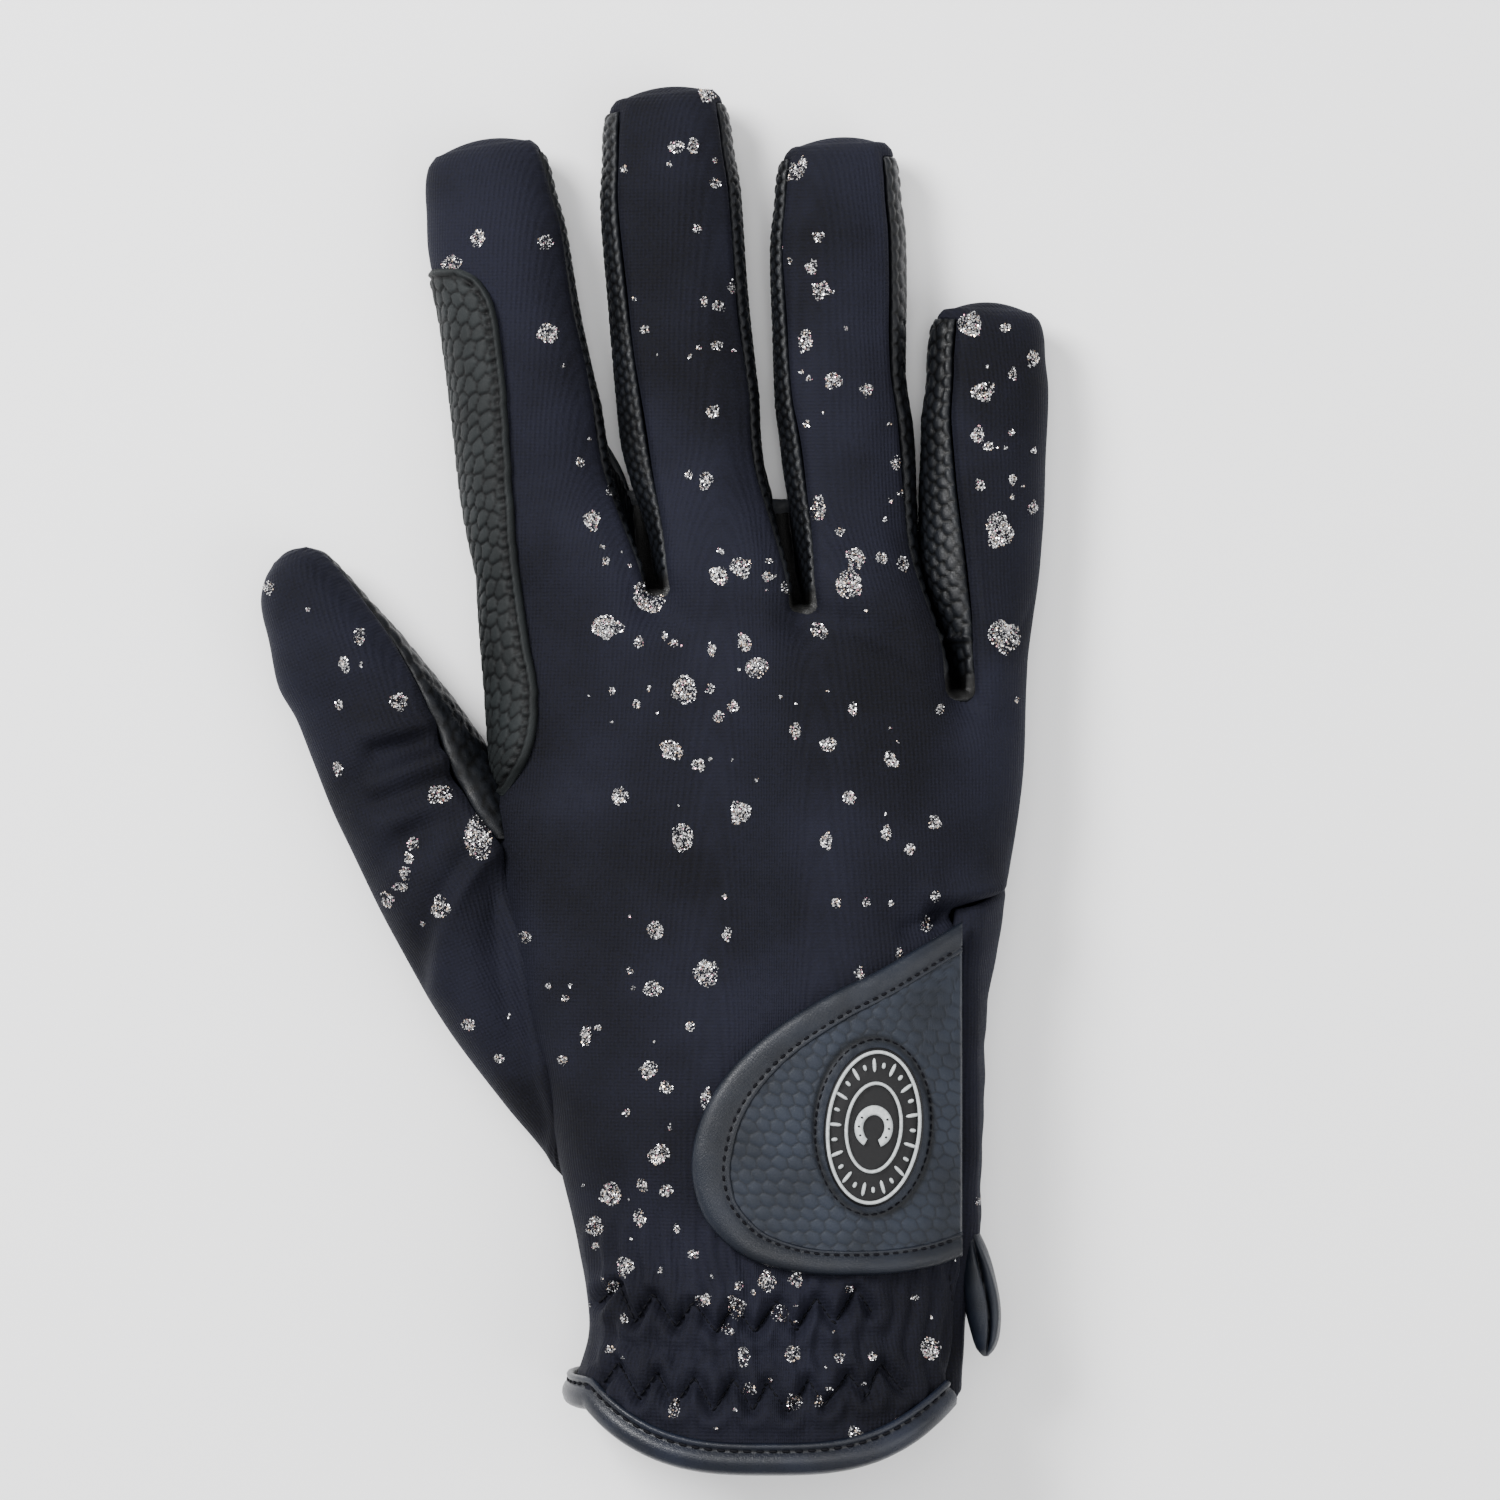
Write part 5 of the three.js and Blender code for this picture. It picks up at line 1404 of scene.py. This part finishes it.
def curve(points, steps):
    """A smooth open curve through points, as many steps between two of them."""
    padded = np.concatenate([2 * points[:1] - points[1:2], points, 2 * points[-1:] - points[-2:-1]])
    line = []
    for k in range(1, len(padded) - 2):
        p0, p1, p2, p3 = padded[k - 1:k + 3]
        for t in np.linspace(0, 1, steps, endpoint=False):
            line.append(0.5 * (2 * p1 + (p2 - p0) * t + (2 * p0 - 5 * p1 + 4 * p2 - p3) * t**2
                               + (3 * p1 - p0 - 3 * p2 + p3) * t**3))
    return np.array(line + [padded[-2]])


free_edge = resample(curve(np.stack([corner_x, corner_y], 1), 12), 0.5)
# The free edge runs on straight past the slit by a few points, so that it can be moved inwards
SPARE = 12
before = free_edge[0] + (free_edge[0] - free_edge[1]) * np.arange(SPARE, 0, -1)[:, None]
after = free_edge[-1] + (free_edge[-1] - free_edge[-2]) * np.arange(1, SPARE + 1)[:, None]
long_edge = np.concatenate([before, free_edge, after])
tangent = unit(eased(np.gradient(long_edge, axis=0), 8))
inward = np.stack([-tangent[:, 1], tangent[:, 0]], 1)
EDGE_STEPS = len(free_edge)
# How wide the folded strip shows, by share of the way round
STRIP_WIDTHS = ((0, 0.3, 0.5, 0.62, 0.78, 1), (0.9, 1.1, 1.4, 1.25, 0.88, 0.82))
strip_share = eased(np.interp((np.arange(len(long_edge)) - SPARE) / (EDGE_STEPS - 1), *STRIP_WIDTHS), 60)


def inset_edge(distance):
    """The tab's free edge moved inwards, from the slit round to the slit."""
    line = long_edge + inward * (distance * strip_share)[:, None]
    inside = np.flatnonzero(line[:, 0] < foot_x)
    first, last = inside[0], inside[-1]

    def crossing(a, b):
        return lerp(a, b, (foot_x - a[0]) / (b[0] - a[0]))

    start, end = crossing(line[first - 1], line[first]), crossing(line[last], line[last + 1])
    return evenly(np.concatenate([[start], line[first:last + 1], [end]]), EDGE_STEPS)


# The folded strip round the tab: each row is a distance from the edge and a height above the tab's
# underside; its stitches lie STITCH_LINE from the edge
STITCH_LINE = 3.95
BINDING_PROFILE = [
    (0.25, 0.0), (0.05, 0.25), (-0.08, 0.75), (-0.05, 1.3), (0.15, 1.8), (0.5, 2.15), (1.0, 2.36),
    (1.7, 2.42), (2.5, 2.3), (3.2, 2.12), (3.6, 1.95), (3.95, 1.72), (4.2, 1.8), (4.5, 1.88), (4.75, 1.74),
    (4.85, 1.45), (4.85, 0.9), (3.6, 0.0), (2.0, 0.0),
]
rings = []
for distance, height in BINDING_PROFILE:
    line = inset_edge(distance)
    wave = 0.05 * ripple(level(line), 7, 21)
    ring, _ = over_back(line[:, 0], line[:, 1], LAP_GAP + height + (wave if height > 1 else 0))
    rings.append(ring)
rings = np.array(rings + rings[:1]).transpose(1, 0, 2)


def swept(rings):
    """A closed tube from rings of points, its ends filled by fans."""
    count, size = rings.shape[0], rings.shape[1] - 1
    hubs = np.stack([rings[0, :-1].mean(0), rings[-1, :-1].mean(0)])
    points = np.concatenate([rings[:, :-1].reshape(-1, 3), hubs])
    ids = np.arange(count * size).reshape(count, size)
    turned = np.roll(ids, -1, 1)
    quads = np.stack([ids[:-1], turned[:-1], turned[1:], ids[1:]], -1).reshape(-1, 4)
    hub = count * size
    near = np.stack([np.full(size, hub), turned[0], ids[0]], 1)
    far = np.stack([np.full(size, hub + 1), ids[-1], turned[-1]], 1)
    return points, quads, np.concatenate([near, far])


def outward(points, quads, tris):
    """Turns a closed body's faces over if they face inwards."""
    triangles = np.concatenate([quads[:, [0, 1, 2]], quads[:, [0, 2, 3]], tris])
    a, b, c = (points[triangles[:, k]] for k in range(3))
    volume = (a * np.cross(b, c)).sum() / 6
    return (points, quads, tris) if volume > 0 else (points, quads[:, ::-1], tris[:, ::-1])


def make_swept(name, rings, material, slot, nodes, **attributes):
    points, quads, tris = outward(*swept(np.array(rings)))
    make(name, points, [quads, tris], material, slot, nodes, **attributes)


across = np.tile(np.array([d for d, _ in BINDING_PROFILE]), len(rings))
# Painted shade along the sunk line of the stitches
make_swept("glove_tab_binding", rings, EDGE_LEATHER, "binding_leather", ["closure_binding"],
           groove=0.35 * hump(across - STITCH_LINE, 0.25))
line = inset_edge(STITCH_LINE)[4:-4]
path, normal = over_back(line[:, 0], line[:, 1], LAP_GAP + 1.84)
thread_parts.append(stitches(path, normal, EDGE_STITCH, 0.46, 0.58))

# The tab's embossed field, on rings about the badge out to its outline
field_edge = inset_edge(3.9)
outline = np.concatenate([field_edge, np.linspace(field_edge[-1], field_edge[0], 80)[1:-1]])
FIELD_SCALES = 2.45
BADGE_MARGIN = 1.6
FIELD_TURN, FIELD_OUT = 480, 96
turns = np.linspace(0, 2 * np.pi, FIELD_TURN + 1)


def reach_of(angles, closed):
    """How far a star-shaped closed outline lies from the badge's centre in each direction."""
    around = closed - BADGE_CENTRE
    bearing = np.unwrap(np.arctan2(around[:, 1], around[:, 0]))
    bearing = np.append(bearing, bearing[0] + np.sign(bearing[-1] - bearing[0]) * 2 * np.pi)
    far = np.append(np.hypot(around[:, 0], around[:, 1]), np.hypot(*around[0]))
    order = np.argsort(bearing)
    base = bearing[order][0]
    return np.interp(base + (angles - base) % (2 * np.pi), bearing[order], far[order])


far = reach_of(turns, outline)
out = shares(FIELD_OUT)[:, None]
x = BADGE_CENTRE[0] + out * far * np.cos(turns)
y = BADGE_CENTRE[1] + out * far * np.sin(turns)
edge, _ = cells(0.95 * (x + 0.25 * y), y, FIELD_SCALES, 0.28, 9)
groove = 1 - smooth(edge / 0.24)
from_badge = np.hypot((x - BADGE_CENTRE[0] - BADGE_SHIFT[0]) / (BADGE_HALF_WIDTH + BADGE_MARGIN),
                      (y - BADGE_CENTRE[1] - BADGE_SHIFT[1]) / (BADGE_HALF_HEIGHT + BADGE_MARGIN))
# Painted shade: the pressed ring round the badge is sunk and, like the cells' grooves, darkened in colour
pressed = hump(from_badge - 1, 0.055)
groove = groove * (1 - pressed) * smooth((from_badge - 1) * 8 + 0.8)
edge_drop = -0.8 * smooth((out - 0.975) / 0.025) * (x > foot_x - 1.2)
height = 0.09 * smooth(edge / 1.0) - 0.12 * groove - 0.35 * pressed + edge_drop
height = height + 0.1 * ripple(level(np.stack([x, y], -1)), 19, 31)
top, _ = over_back(x, y, TAB_TOP + height)
under, _ = over_back(x, y, np.full_like(x, LAP_GAP))
points, quads, first = weld([top[:, ::-1]])
tab_points, faces = between(points, under[:, ::-1].reshape(-1, 3)[first], quads)
if normals_of(points, quads)[:, 2].mean() < 0:
    faces = faces[:, ::-1]
make("glove_tab", tab_points, faces, TAB_LEATHER, "slate_leather", ["closure_tab"],
     groove=(0.6 * groove + 0.9 * pressed)[:, ::-1].ravel()[first])

# The stitched line round the badge
angles = np.linspace(0, 2 * np.pi, 200)
tilt = -math.radians(BADGE_TILT)


def on_oval(half_width, half_height, angles, up):
    """Points on an oval about the badge's middle, at a height above the hand's back, with the way up."""
    x, y = half_width * np.cos(angles), half_height * np.sin(angles)
    across = BADGE_CENTRE[0] + BADGE_SHIFT[0] + x * math.cos(tilt) - y * math.sin(tilt)
    along = BADGE_CENTRE[1] + BADGE_SHIFT[1] + x * math.sin(tilt) + y * math.cos(tilt)
    return over_back(across, along, np.full_like(across, up))


path, normal = on_oval(BADGE_HALF_WIDTH + 1.5, BADGE_HALF_HEIGHT + 1.5, angles, TAB_TOP - 0.2)
thread_parts.append(stitches(path, normal, 1.5, 0.34))

# The badge: a domed rubber oval, two raised rims, a ring of pips and a horseshoe
BADGE_BOTTOM = TAB_TOP + LAP_GAP
BADGE_TOP = BADGE_BOTTOM + BADGE_WALL
turns = np.linspace(0, 2 * np.pi, 121)
BASE_PROFILE = [
    (0.05, BADGE_BOTTOM), (0.9, BADGE_BOTTOM), (1.0, BADGE_BOTTOM + 0.1), (1.01, BADGE_TOP - 0.5),
    (0.985, BADGE_TOP - 0.1), (0.95, BADGE_TOP), (0.6, BADGE_TOP), (0.3, BADGE_TOP), (0.05, BADGE_TOP),
]
rings = []
for share, up in BASE_PROFILE:
    rings.append(on_oval(share * BADGE_HALF_WIDTH, share * BADGE_HALF_HEIGHT, turns, up)[0])
make_swept("badge_rubber", rings, BLACK_RUBBER, "black_rubber", ["badge_base"])


def rim(half_width, half_height, width):
    """A raised rounded rim of an oval, closed all round."""
    rows = []
    for a in np.linspace(0, 2 * np.pi, 13):
        inset = width / 2 - width / 2 * math.cos(a)
        up = BADGE_TOP + 0.02 + math.sin(a) ** 0.7 * RIM_RISE if math.sin(a) > 0 else BADGE_TOP - 0.1
        rows.append(on_oval(half_width - inset, half_height - inset, turns, up)[0])
    points, quads, _ = weld([np.array(rows)])
    return outward(points, quads, np.zeros((0, 3), int))


RIM_RISE = LAP_GAP + BADGE_RELIEF
parts = [rim(BADGE_HALF_WIDTH - 0.3, BADGE_HALF_HEIGHT - 0.3, 0.62)]
PIPS = 26
pip_x = (BADGE_HALF_WIDTH + BADGE_FIELD_HALF_WIDTH) / 2
pip_y = (BADGE_HALF_HEIGHT + BADGE_FIELD_HALF_HEIGHT) / 2
for k in range(PIPS):
    long = 1.15 if k % 2 else 0.5
    both = np.array([-long, long])
    ends, up = on_oval(pip_x + both, pip_y + both, 2 * np.pi * k / PIPS, BADGE_TOP + 0.12)
    way = (ends[1] - ends[0]) / 2 / long
    side = np.cross(up[0], way)
    form, quads, tris = capsule()
    body = ends.mean(0) + np.outer(form[:, 0] * 2 * long, way) + np.outer(form[:, 1] * 0.62, side)
    parts.append((body + np.outer(form[:, 2] * 0.8, up[0]), quads, tris))
points, faces = join(parts)
make("badge_outer_rim", points, faces, GREY_PRINT, "grey_print", ["badge_outer_ring"])
points, faces = join([rim(BADGE_FIELD_HALF_WIDTH, BADGE_FIELD_HALF_HEIGHT, 0.6)])
make("badge_inner_rim", points, faces, GREY_PRINT, "grey_print", ["badge_inner_ring"])

EMBLEM_STRETCH = 1.15
EMBLEM_ENDS = (-62, 242)
NAILS = (-30, 0, 32, 148, 180, 210)
rows = []
for angle in np.radians(np.linspace(*EMBLEM_ENDS, 60)):
    ends = min(1.0, 4 * math.cos((angle - math.pi / 2) / 2) ** 2)
    width = EMBLEM_STROKE * (0.72 + 0.28 * ends)
    ring = []
    for a in np.linspace(0, 2 * np.pi, 13):
        radius = EMBLEM_RADIUS - EMBLEM_STROKE / 2 + width / 2 * math.cos(a)
        up = BADGE_TOP + (math.sin(a) ** 0.6 * RIM_RISE * 0.85 if math.sin(a) > 0 else -0.1)
        ring.append(on_oval(radius, EMBLEM_STRETCH * radius, angle, up)[0])
    rows.append(ring)
make_swept("badge_horseshoe", rows, GREY_PRINT, "grey_print", ["badge_emblem"])
nails = []
radius = EMBLEM_RADIUS - EMBLEM_STROKE / 2
for angle in np.radians(NAILS):
    place, _ = on_oval(radius, EMBLEM_STRETCH * radius, angle, BADGE_TOP + RIM_RISE * 0.85 - 0.06)
    form, quads, tris = capsule()
    nails.append((place + form * 0.42, quads, tris))
points, faces = join(nails)
make("badge_nail_holes", points, faces, BLACK_RUBBER, "black_rubber")


# The rolled leather round the wrist opening
def hem_line():
    """Points along the wrist's edge, from the slit over the back and under the palm, and the way in."""
    step = np.array([[0.0], [0.01]])
    back = hand_face(all_columns(24, 2, "back"), step, "back")[:, ::-1]
    side = hand_side(-1, shares(26), step)
    palm = hand_face(all_columns(24, 2, "palm"), step, "palm")
    path = np.concatenate([back[0], side[0, 1:-1], palm[0]])
    ahead = np.concatenate([back[1], side[1, 1:-1], palm[1]])
    return evenly(path, HEM_STEPS), evenly(path, HEM_STEPS, ahead - path)


HEM_STEPS = 420
HEM_STITCH_LINE = 1.3
hem_path, hem_in = hem_line()
around = unit(np.gradient(hem_path, axis=0))
hem_in = unit(hem_in - around * (hem_in * around).sum(1, keepdims=True))
away = unit(eased(np.cross(hem_in, around), 10))
# The strip's profile: each row is a height over the hand's surface and a distance out past its edge
low = -HEM_BINDING_WIDTH
inside = -LEATHER_WALL - LAP_GAP
outer_top = LAP_GAP + BINDING_WALL
middle_a = (outer_top + inside - BINDING_WALL) / 2
half_a = (outer_top - inside + BINDING_WALL) / 2
PROFILE = [
    (LAP_GAP * 0.3, 0.0), (LAP_GAP * 0.3, low + 0.2), (0.7, low - 0.1), (1.25, low + 0.15),
    (1.4, low + 0.5), (1.2, low + 0.95), (0.85, low + HEM_STITCH_LINE), (1.15, low + 1.7),
    (1.55, low + 2.2), (1.75, -1.3), (1.7, -0.5), (outer_top, 0.1),
    *((middle_a + half_a * math.cos(a), 1.35 * math.sin(a)) for a in np.radians(np.linspace(20, 160, 8))),
    (inside - BINDING_WALL, -0.2), (inside - BINDING_WALL, low), (inside, low), (inside, 0.0),
]
rings = [hem_path + away * a - hem_in * b for a, b in PROFILE]
rings = np.array(rings + rings[:1]).transpose(1, 0, 2)
rings[..., 2] = np.maximum(rings[..., 2], 0)
past = np.tile(np.array([b for _, b in PROFILE]), len(rings))
# Painted shade in the sunk line of the stitches
make_swept("glove_hem_binding", rings, HEM_LEATHER, "binding_leather", ["hem_binding"],
           groove=0.8 * hump(past - low - HEM_STITCH_LINE, 0.3))
seam_row = hem_path + away * 1.05 + hem_in * (HEM_BINDING_WIDTH - HEM_STITCH_LINE)
thread_parts.append(stitches(seam_row[3:-3], away[3:-3], 2.2, 0.6, 0.62))

# The folded leather end at the foot of the slit: a flattened leaf with a rolled edge
LOOP_SECTIONS = table(
    "along width height lean",
    (0.0, 0.5, 0.6, -2.2),
    (0.14, 0.9, 0.9, -1.9),
    (0.35, 1.2, 1.0, -1.4),
    (0.6, 1.2, 1.0, -0.5),
    (0.82, 0.95, 0.9, 0.0),
    (0.94, 0.62, 0.7, 0.0),
    (1.0, 0.2, 0.3, 0.0),
)
s = shares(60)[:, None]
a = np.linspace(0, 2 * np.pi, 73)
slit = math.pi * (0.36 + 0.16 * (2 * s - 1.1) ** 2)
dent = 0.55 * hump(a - slit, 0.13) - 0.09 * hump(a - slit + 0.42, 0.2)
dent = dent * np.minimum(1, 5 * s) * np.minimum(1, 8 * (1 - s))
width = LOOP_THICKNESS / 2 * read(LOOP_SECTIONS, "width", s) * (1 - dent)
height = LOOP_HEIGHT / 2 * read(LOOP_SECTIONS, "height", s) * (1 - dent)
rings = stack(
    HAND_HALF_WIDTH * LOOP_PLACE[0] + read(LOOP_SECTIONS, "lean", s) + width * np.cos(a),
    HAND_LENGTH * LOOP_PLACE[1] - s * LOOP_LENGTH,
    HAND_THICKNESS * LOOP_PLACE[2] + height * np.sin(a),
)
# Painted shade in the crease of the fold
make_swept("glove_vent_loop", rings, EDGE_LEATHER, "binding_leather", ["vent_loop"],
           groove=np.clip(2 * dent, 0, 1)[:, :-1].ravel())

# The zigzag thread on the cuff, the stitched line beside the slit, its corners
# in photograph pixels, and the row across the little finger's wall
SLIT_ROW = ((948, 1268), (951, 1300), (957, 1350), (955, 1385))
for path in ZIGZAGS:
    thread_parts.append(stitches(*draped(path, [back_outer]), 1.5, 0.5, 0.86))
line = resample(np.stack(at_photo(*zip(*SLIT_ROW)), 1), 0.6)
thread_parts.append(stitches(*draped(line, [back_outer]), 1.8, 0.4))
line = [(x, LITTLE_HEM_RIDGE) for x in np.linspace(*at_photo(LITTLE_HEM_ENDS, 0)[0], 24)]
thread_parts.append(stitches(*draped(line, [wall_outer]), 1.1, 0.35))
points, faces = join(thread_parts)
make("glove_stitching", points, faces, NAVY_THREAD, "navy_knit")

# Glitter: where each fleck lies and its radius, in photograph pixels
FLECKS = [
    (479, 239, 9), (545, 243, 8), (452, 265, 11), (549, 335, 12), (580, 463, 5), (612, 490, 8),
    (592, 522, 11), (648, 598, 20), (607, 628, 17), (706, 92, 12), (675, 147, 8), (693, 147, 8),
    (715, 184, 6), (697, 230, 5), (733, 288, 7), (718, 307, 7), (645, 330, 5), (716, 346, 6),
    (713, 413, 8), (706, 482, 9), (790, 172, 12), (803, 164, 7), (818, 238, 6), (812, 268, 8),
    (821, 291, 10), (806, 342, 10), (833, 381, 10), (867, 390, 8), (819, 509, 11), (856, 560, 12),
    (849, 585, 15), (903, 566, 8), (970, 325, 15), (1005, 328, 6), (1033, 358, 9), (1012, 374, 6),
    (983, 392, 12), (977, 436, 9), (988, 447, 6), (1012, 480, 6), (998, 532, 17), (1033, 508, 7),
    (1004, 636, 17), (718, 577, 12), (741, 570, 11), (768, 578, 7), (788, 590, 8), (820, 632, 10),
    (712, 651, 7), (745, 645, 8), (756, 667, 12), (684, 690, 14), (733, 707, 7), (795, 732, 8),
    (828, 745, 9), (672, 750, 12), (700, 765, 8), (890, 760, 9), (620, 797, 10), (740, 812, 14),
    (683, 837, 13), (848, 797, 9), (885, 832, 8), (825, 840, 9), (908, 848, 7), (933, 822, 8),
    (938, 710, 6), (835, 901, 6), (865, 901, 5), (527, 935, 8), (657, 928, 10), (727, 932, 6),
    (706, 968, 14), (655, 985, 9), (690, 1022, 6), (588, 1030, 7), (565, 1057, 6), (650, 1066, 10),
    (667, 1083, 7), (708, 1093, 10), (660, 1150, 12), (612, 1190, 14), (667, 1185, 7), (641, 1213, 8),
    (597, 1222, 10), (627, 1260, 10), (766, 1272, 12), (795, 1272, 8), (705, 1292, 9), (736, 1298, 12),
    (780, 1305, 10), (728, 1320, 7), (743, 1345, 9), (792, 1343, 9), (750, 1378, 7), (793, 1390, 9),
    (927, 1342, 12), (838, 1348, 6), (853, 1421, 8), (676, 1397, 9), (268, 588, 8), (360, 637, 8),
    (345, 664, 8), (340, 705, 6), (400, 702, 10), (339, 768, 7), (441, 794, 12), (414, 843, 7),
    (411, 858, 7), (407, 872, 7), (404, 886, 7), (388, 900, 9), (480, 835, 20), (442, 908, 12),
    (470, 1023, 8), (500, 1057, 6), (933, 895, 6), (925, 924, 7), (897, 950, 5), (858, 971, 6),
    (550, 984, 4), (567, 996, 4), (588, 1037, 6), (600, 1025, 4), (631, 968, 4), (634, 985, 3),
    (628, 1108, 4), (614, 1281, 7), (625, 1312, 5), (612, 1343, 5), (739, 1277, 5), (695, 1247, 6),
    (678, 1222, 5), (597, 1242, 5), (644, 1179, 7), (912, 1290, 4), (848, 1281, 5), (871, 1347, 5),
    (818, 1390, 6), (880, 1435, 6), (828, 1378, 4), (977, 1199, 5), (624, 169, 5), (704, 302, 5),
    (734, 351, 3), (781, 247, 4), (689, 476, 5), (807, 424, 4), (809, 379, 4), (896, 463, 7),
    (903, 493, 4), (890, 501, 3), (882, 559, 7), (1011, 433, 4), (1034, 450, 4), (979, 486, 6),
    (839, 533, 5), (607, 562, 5), (769, 562, 4), (721, 553, 4), (640, 643, 6), (665, 637, 4),
    (674, 644, 5), (743, 641, 7), (613, 691, 4), (638, 705, 5), (650, 689, 3), (711, 690, 5),
    (719, 716, 6), (852, 710, 6), (1016, 700, 3),
]
TINY_FLECKS = 90
FLAKE_PITCH = 0.21
FLAKE_SIZE = (0.1, 0.26)
FLAKE_TILT = 0.5


def fleck_outline(own, count=9):
    """An uneven round outline: how far it reaches, by angle, as shares of its radius."""
    rough = own.uniform(0.62, 1.18, count)
    closed = np.append(rough, rough[0])
    return lambda a: np.interp((a / (2 * np.pi) % 1) * count, np.arange(count + 1), closed)


def flakes():
    """Small tilted flakes that cover every fleck, as points and quads with a tone and a hint each."""
    own = np.random.default_rng(23)
    spots = [(x, y, r * 0.95) for x, y, r in FLECKS]
    while len(spots) < len(FLECKS) + TINY_FLECKS:
        x, y, r = FLECKS[own.integers(len(FLECKS))]
        away, angle = own.uniform(15, 60), own.uniform(0, 2 * np.pi)
        spots.append((x + away * math.cos(angle), y + away * math.sin(angle), own.uniform(1.2, 3.2)))
    quads, corners, tones, hints = [], [], [], []
    shape = np.array([(-0.5, -0.45), (0.5, -0.5), (0.45, 0.5), (-0.5, 0.4)])
    for px, py, r in spots:
        x0, y0 = at_photo(px, py)
        radius = r / PHOTO_SCALE
        reach = fleck_outline(own)
        stretch, turn = own.uniform(0.78, 1.12), own.uniform(0, np.pi)
        count = int(3.2 * radius**2 / FLAKE_PITCH**2) + 2
        a, d = own.uniform(0, 2 * np.pi, count), np.sqrt(own.uniform(0, 1, count)) * radius
        d = d * reach(a)
        x = x0 + d * np.cos(a + turn) * stretch
        y = y0 + d * np.sin(a + turn) / stretch
        for fx, fy in zip(x, y):
            hit = drop(fx, fy, [back_outer, strip_outer, thumb_outer])
            if hit is None or hit[1][2] < 0.15:
                continue
            place, up = hit
            tilted = unit(up + own.normal(0, FLAKE_TILT, 3))
            side = unit(np.cross(tilted, own.normal(size=3)))
            other = np.cross(tilted, side)
            size = own.uniform(*FLAKE_SIZE)
            base = place + up * own.uniform(0.03, 0.2)
            start = len(corners)
            for s, t in shape:
                corners.append(base + size * (s * side + t * other))
            quads.append((start, start + 1, start + 2, start + 3))
            tones += [own.uniform(0, 1)] * 4
            hints += [own.uniform(0, 1)] * 4
    return np.array(corners), np.array(quads), np.array(tones), np.array(hints)


corners, quads, tones, hints = flakes()
make("glove_glitter", corners, quads, SILVER, "grey_print", tone=tones, hint=hints)

# Floor, light and camera
FLOOR_HALF = 1.5
corners = [(x * FLOOR_HALF, y * FLOOR_HALF, 0) for x, y in ((-1, -1), (1, -1), (1, 1), (-1, 1))]
floor_mesh = bpy.data.meshes.new("floor")
floor_mesh.from_pydata(corners, [], [(0, 1, 2, 3)])
floor = bpy.data.objects.new("floor", floor_mesh)
bpy.context.scene.collection.objects.link(floor)
ground = Nodes("pale_floor")
ground.set(Base_Color=colour(246, 246, 247), Roughness=0.9, Specular_IOR_Level=0.1)
floor_mesh.materials.append(ground.material)


def soft_light(name, place, size, watts):
    light = bpy.data.lights.new(name, "AREA")
    light.shape = "SQUARE"
    light.size = size
    light.energy = watts
    lamp = bpy.data.objects.new(name, light)
    lamp.location = place
    lamp.rotation_euler = (-Vector(place)).to_track_quat("-Z", "Y").to_euler()
    bpy.context.scene.collection.objects.link(lamp)


soft_light("key_light", (-0.55, 0.45, 0.75), 0.4, 20)
soft_light("fill_light", (0.7, -0.3, 0.7), 0.7, 6)
soft_light("top_light", (0.1, 0.2, 1.6), 0.9, 12)
WORLD_STRENGTH = 0.75
world = bpy.data.worlds.new("studio")
bpy.context.scene.world = world
world.use_nodes = True
backdrop = world.node_tree.nodes["Background"]
backdrop.inputs["Color"].default_value = (1, 1, 1, 1)
backdrop.inputs["Strength"].default_value = WORLD_STRENGTH

CAMERA_HEIGHT = 1.2
SENSOR = 36
GLOVE_LEVEL = 15
field = PHOTO_SIZE / PHOTO_SCALE
camera = bpy.data.objects.new("camera", bpy.data.cameras.new("camera"))
bpy.context.scene.collection.objects.link(camera)
middle_x, middle_y = at_photo(PHOTO_SIZE / 2, PHOTO_SIZE / 2)
camera.location = (middle_x * MILLIMETRE + ORIGIN[0], middle_y * MILLIMETRE + ORIGIN[1], CAMERA_HEIGHT)
camera.data.sensor_width = SENSOR
camera.data.lens = SENSOR * (CAMERA_HEIGHT / MILLIMETRE - GLOVE_LEVEL) / field
camera.data.clip_start = 0.05
bpy.context.scene.camera = camera
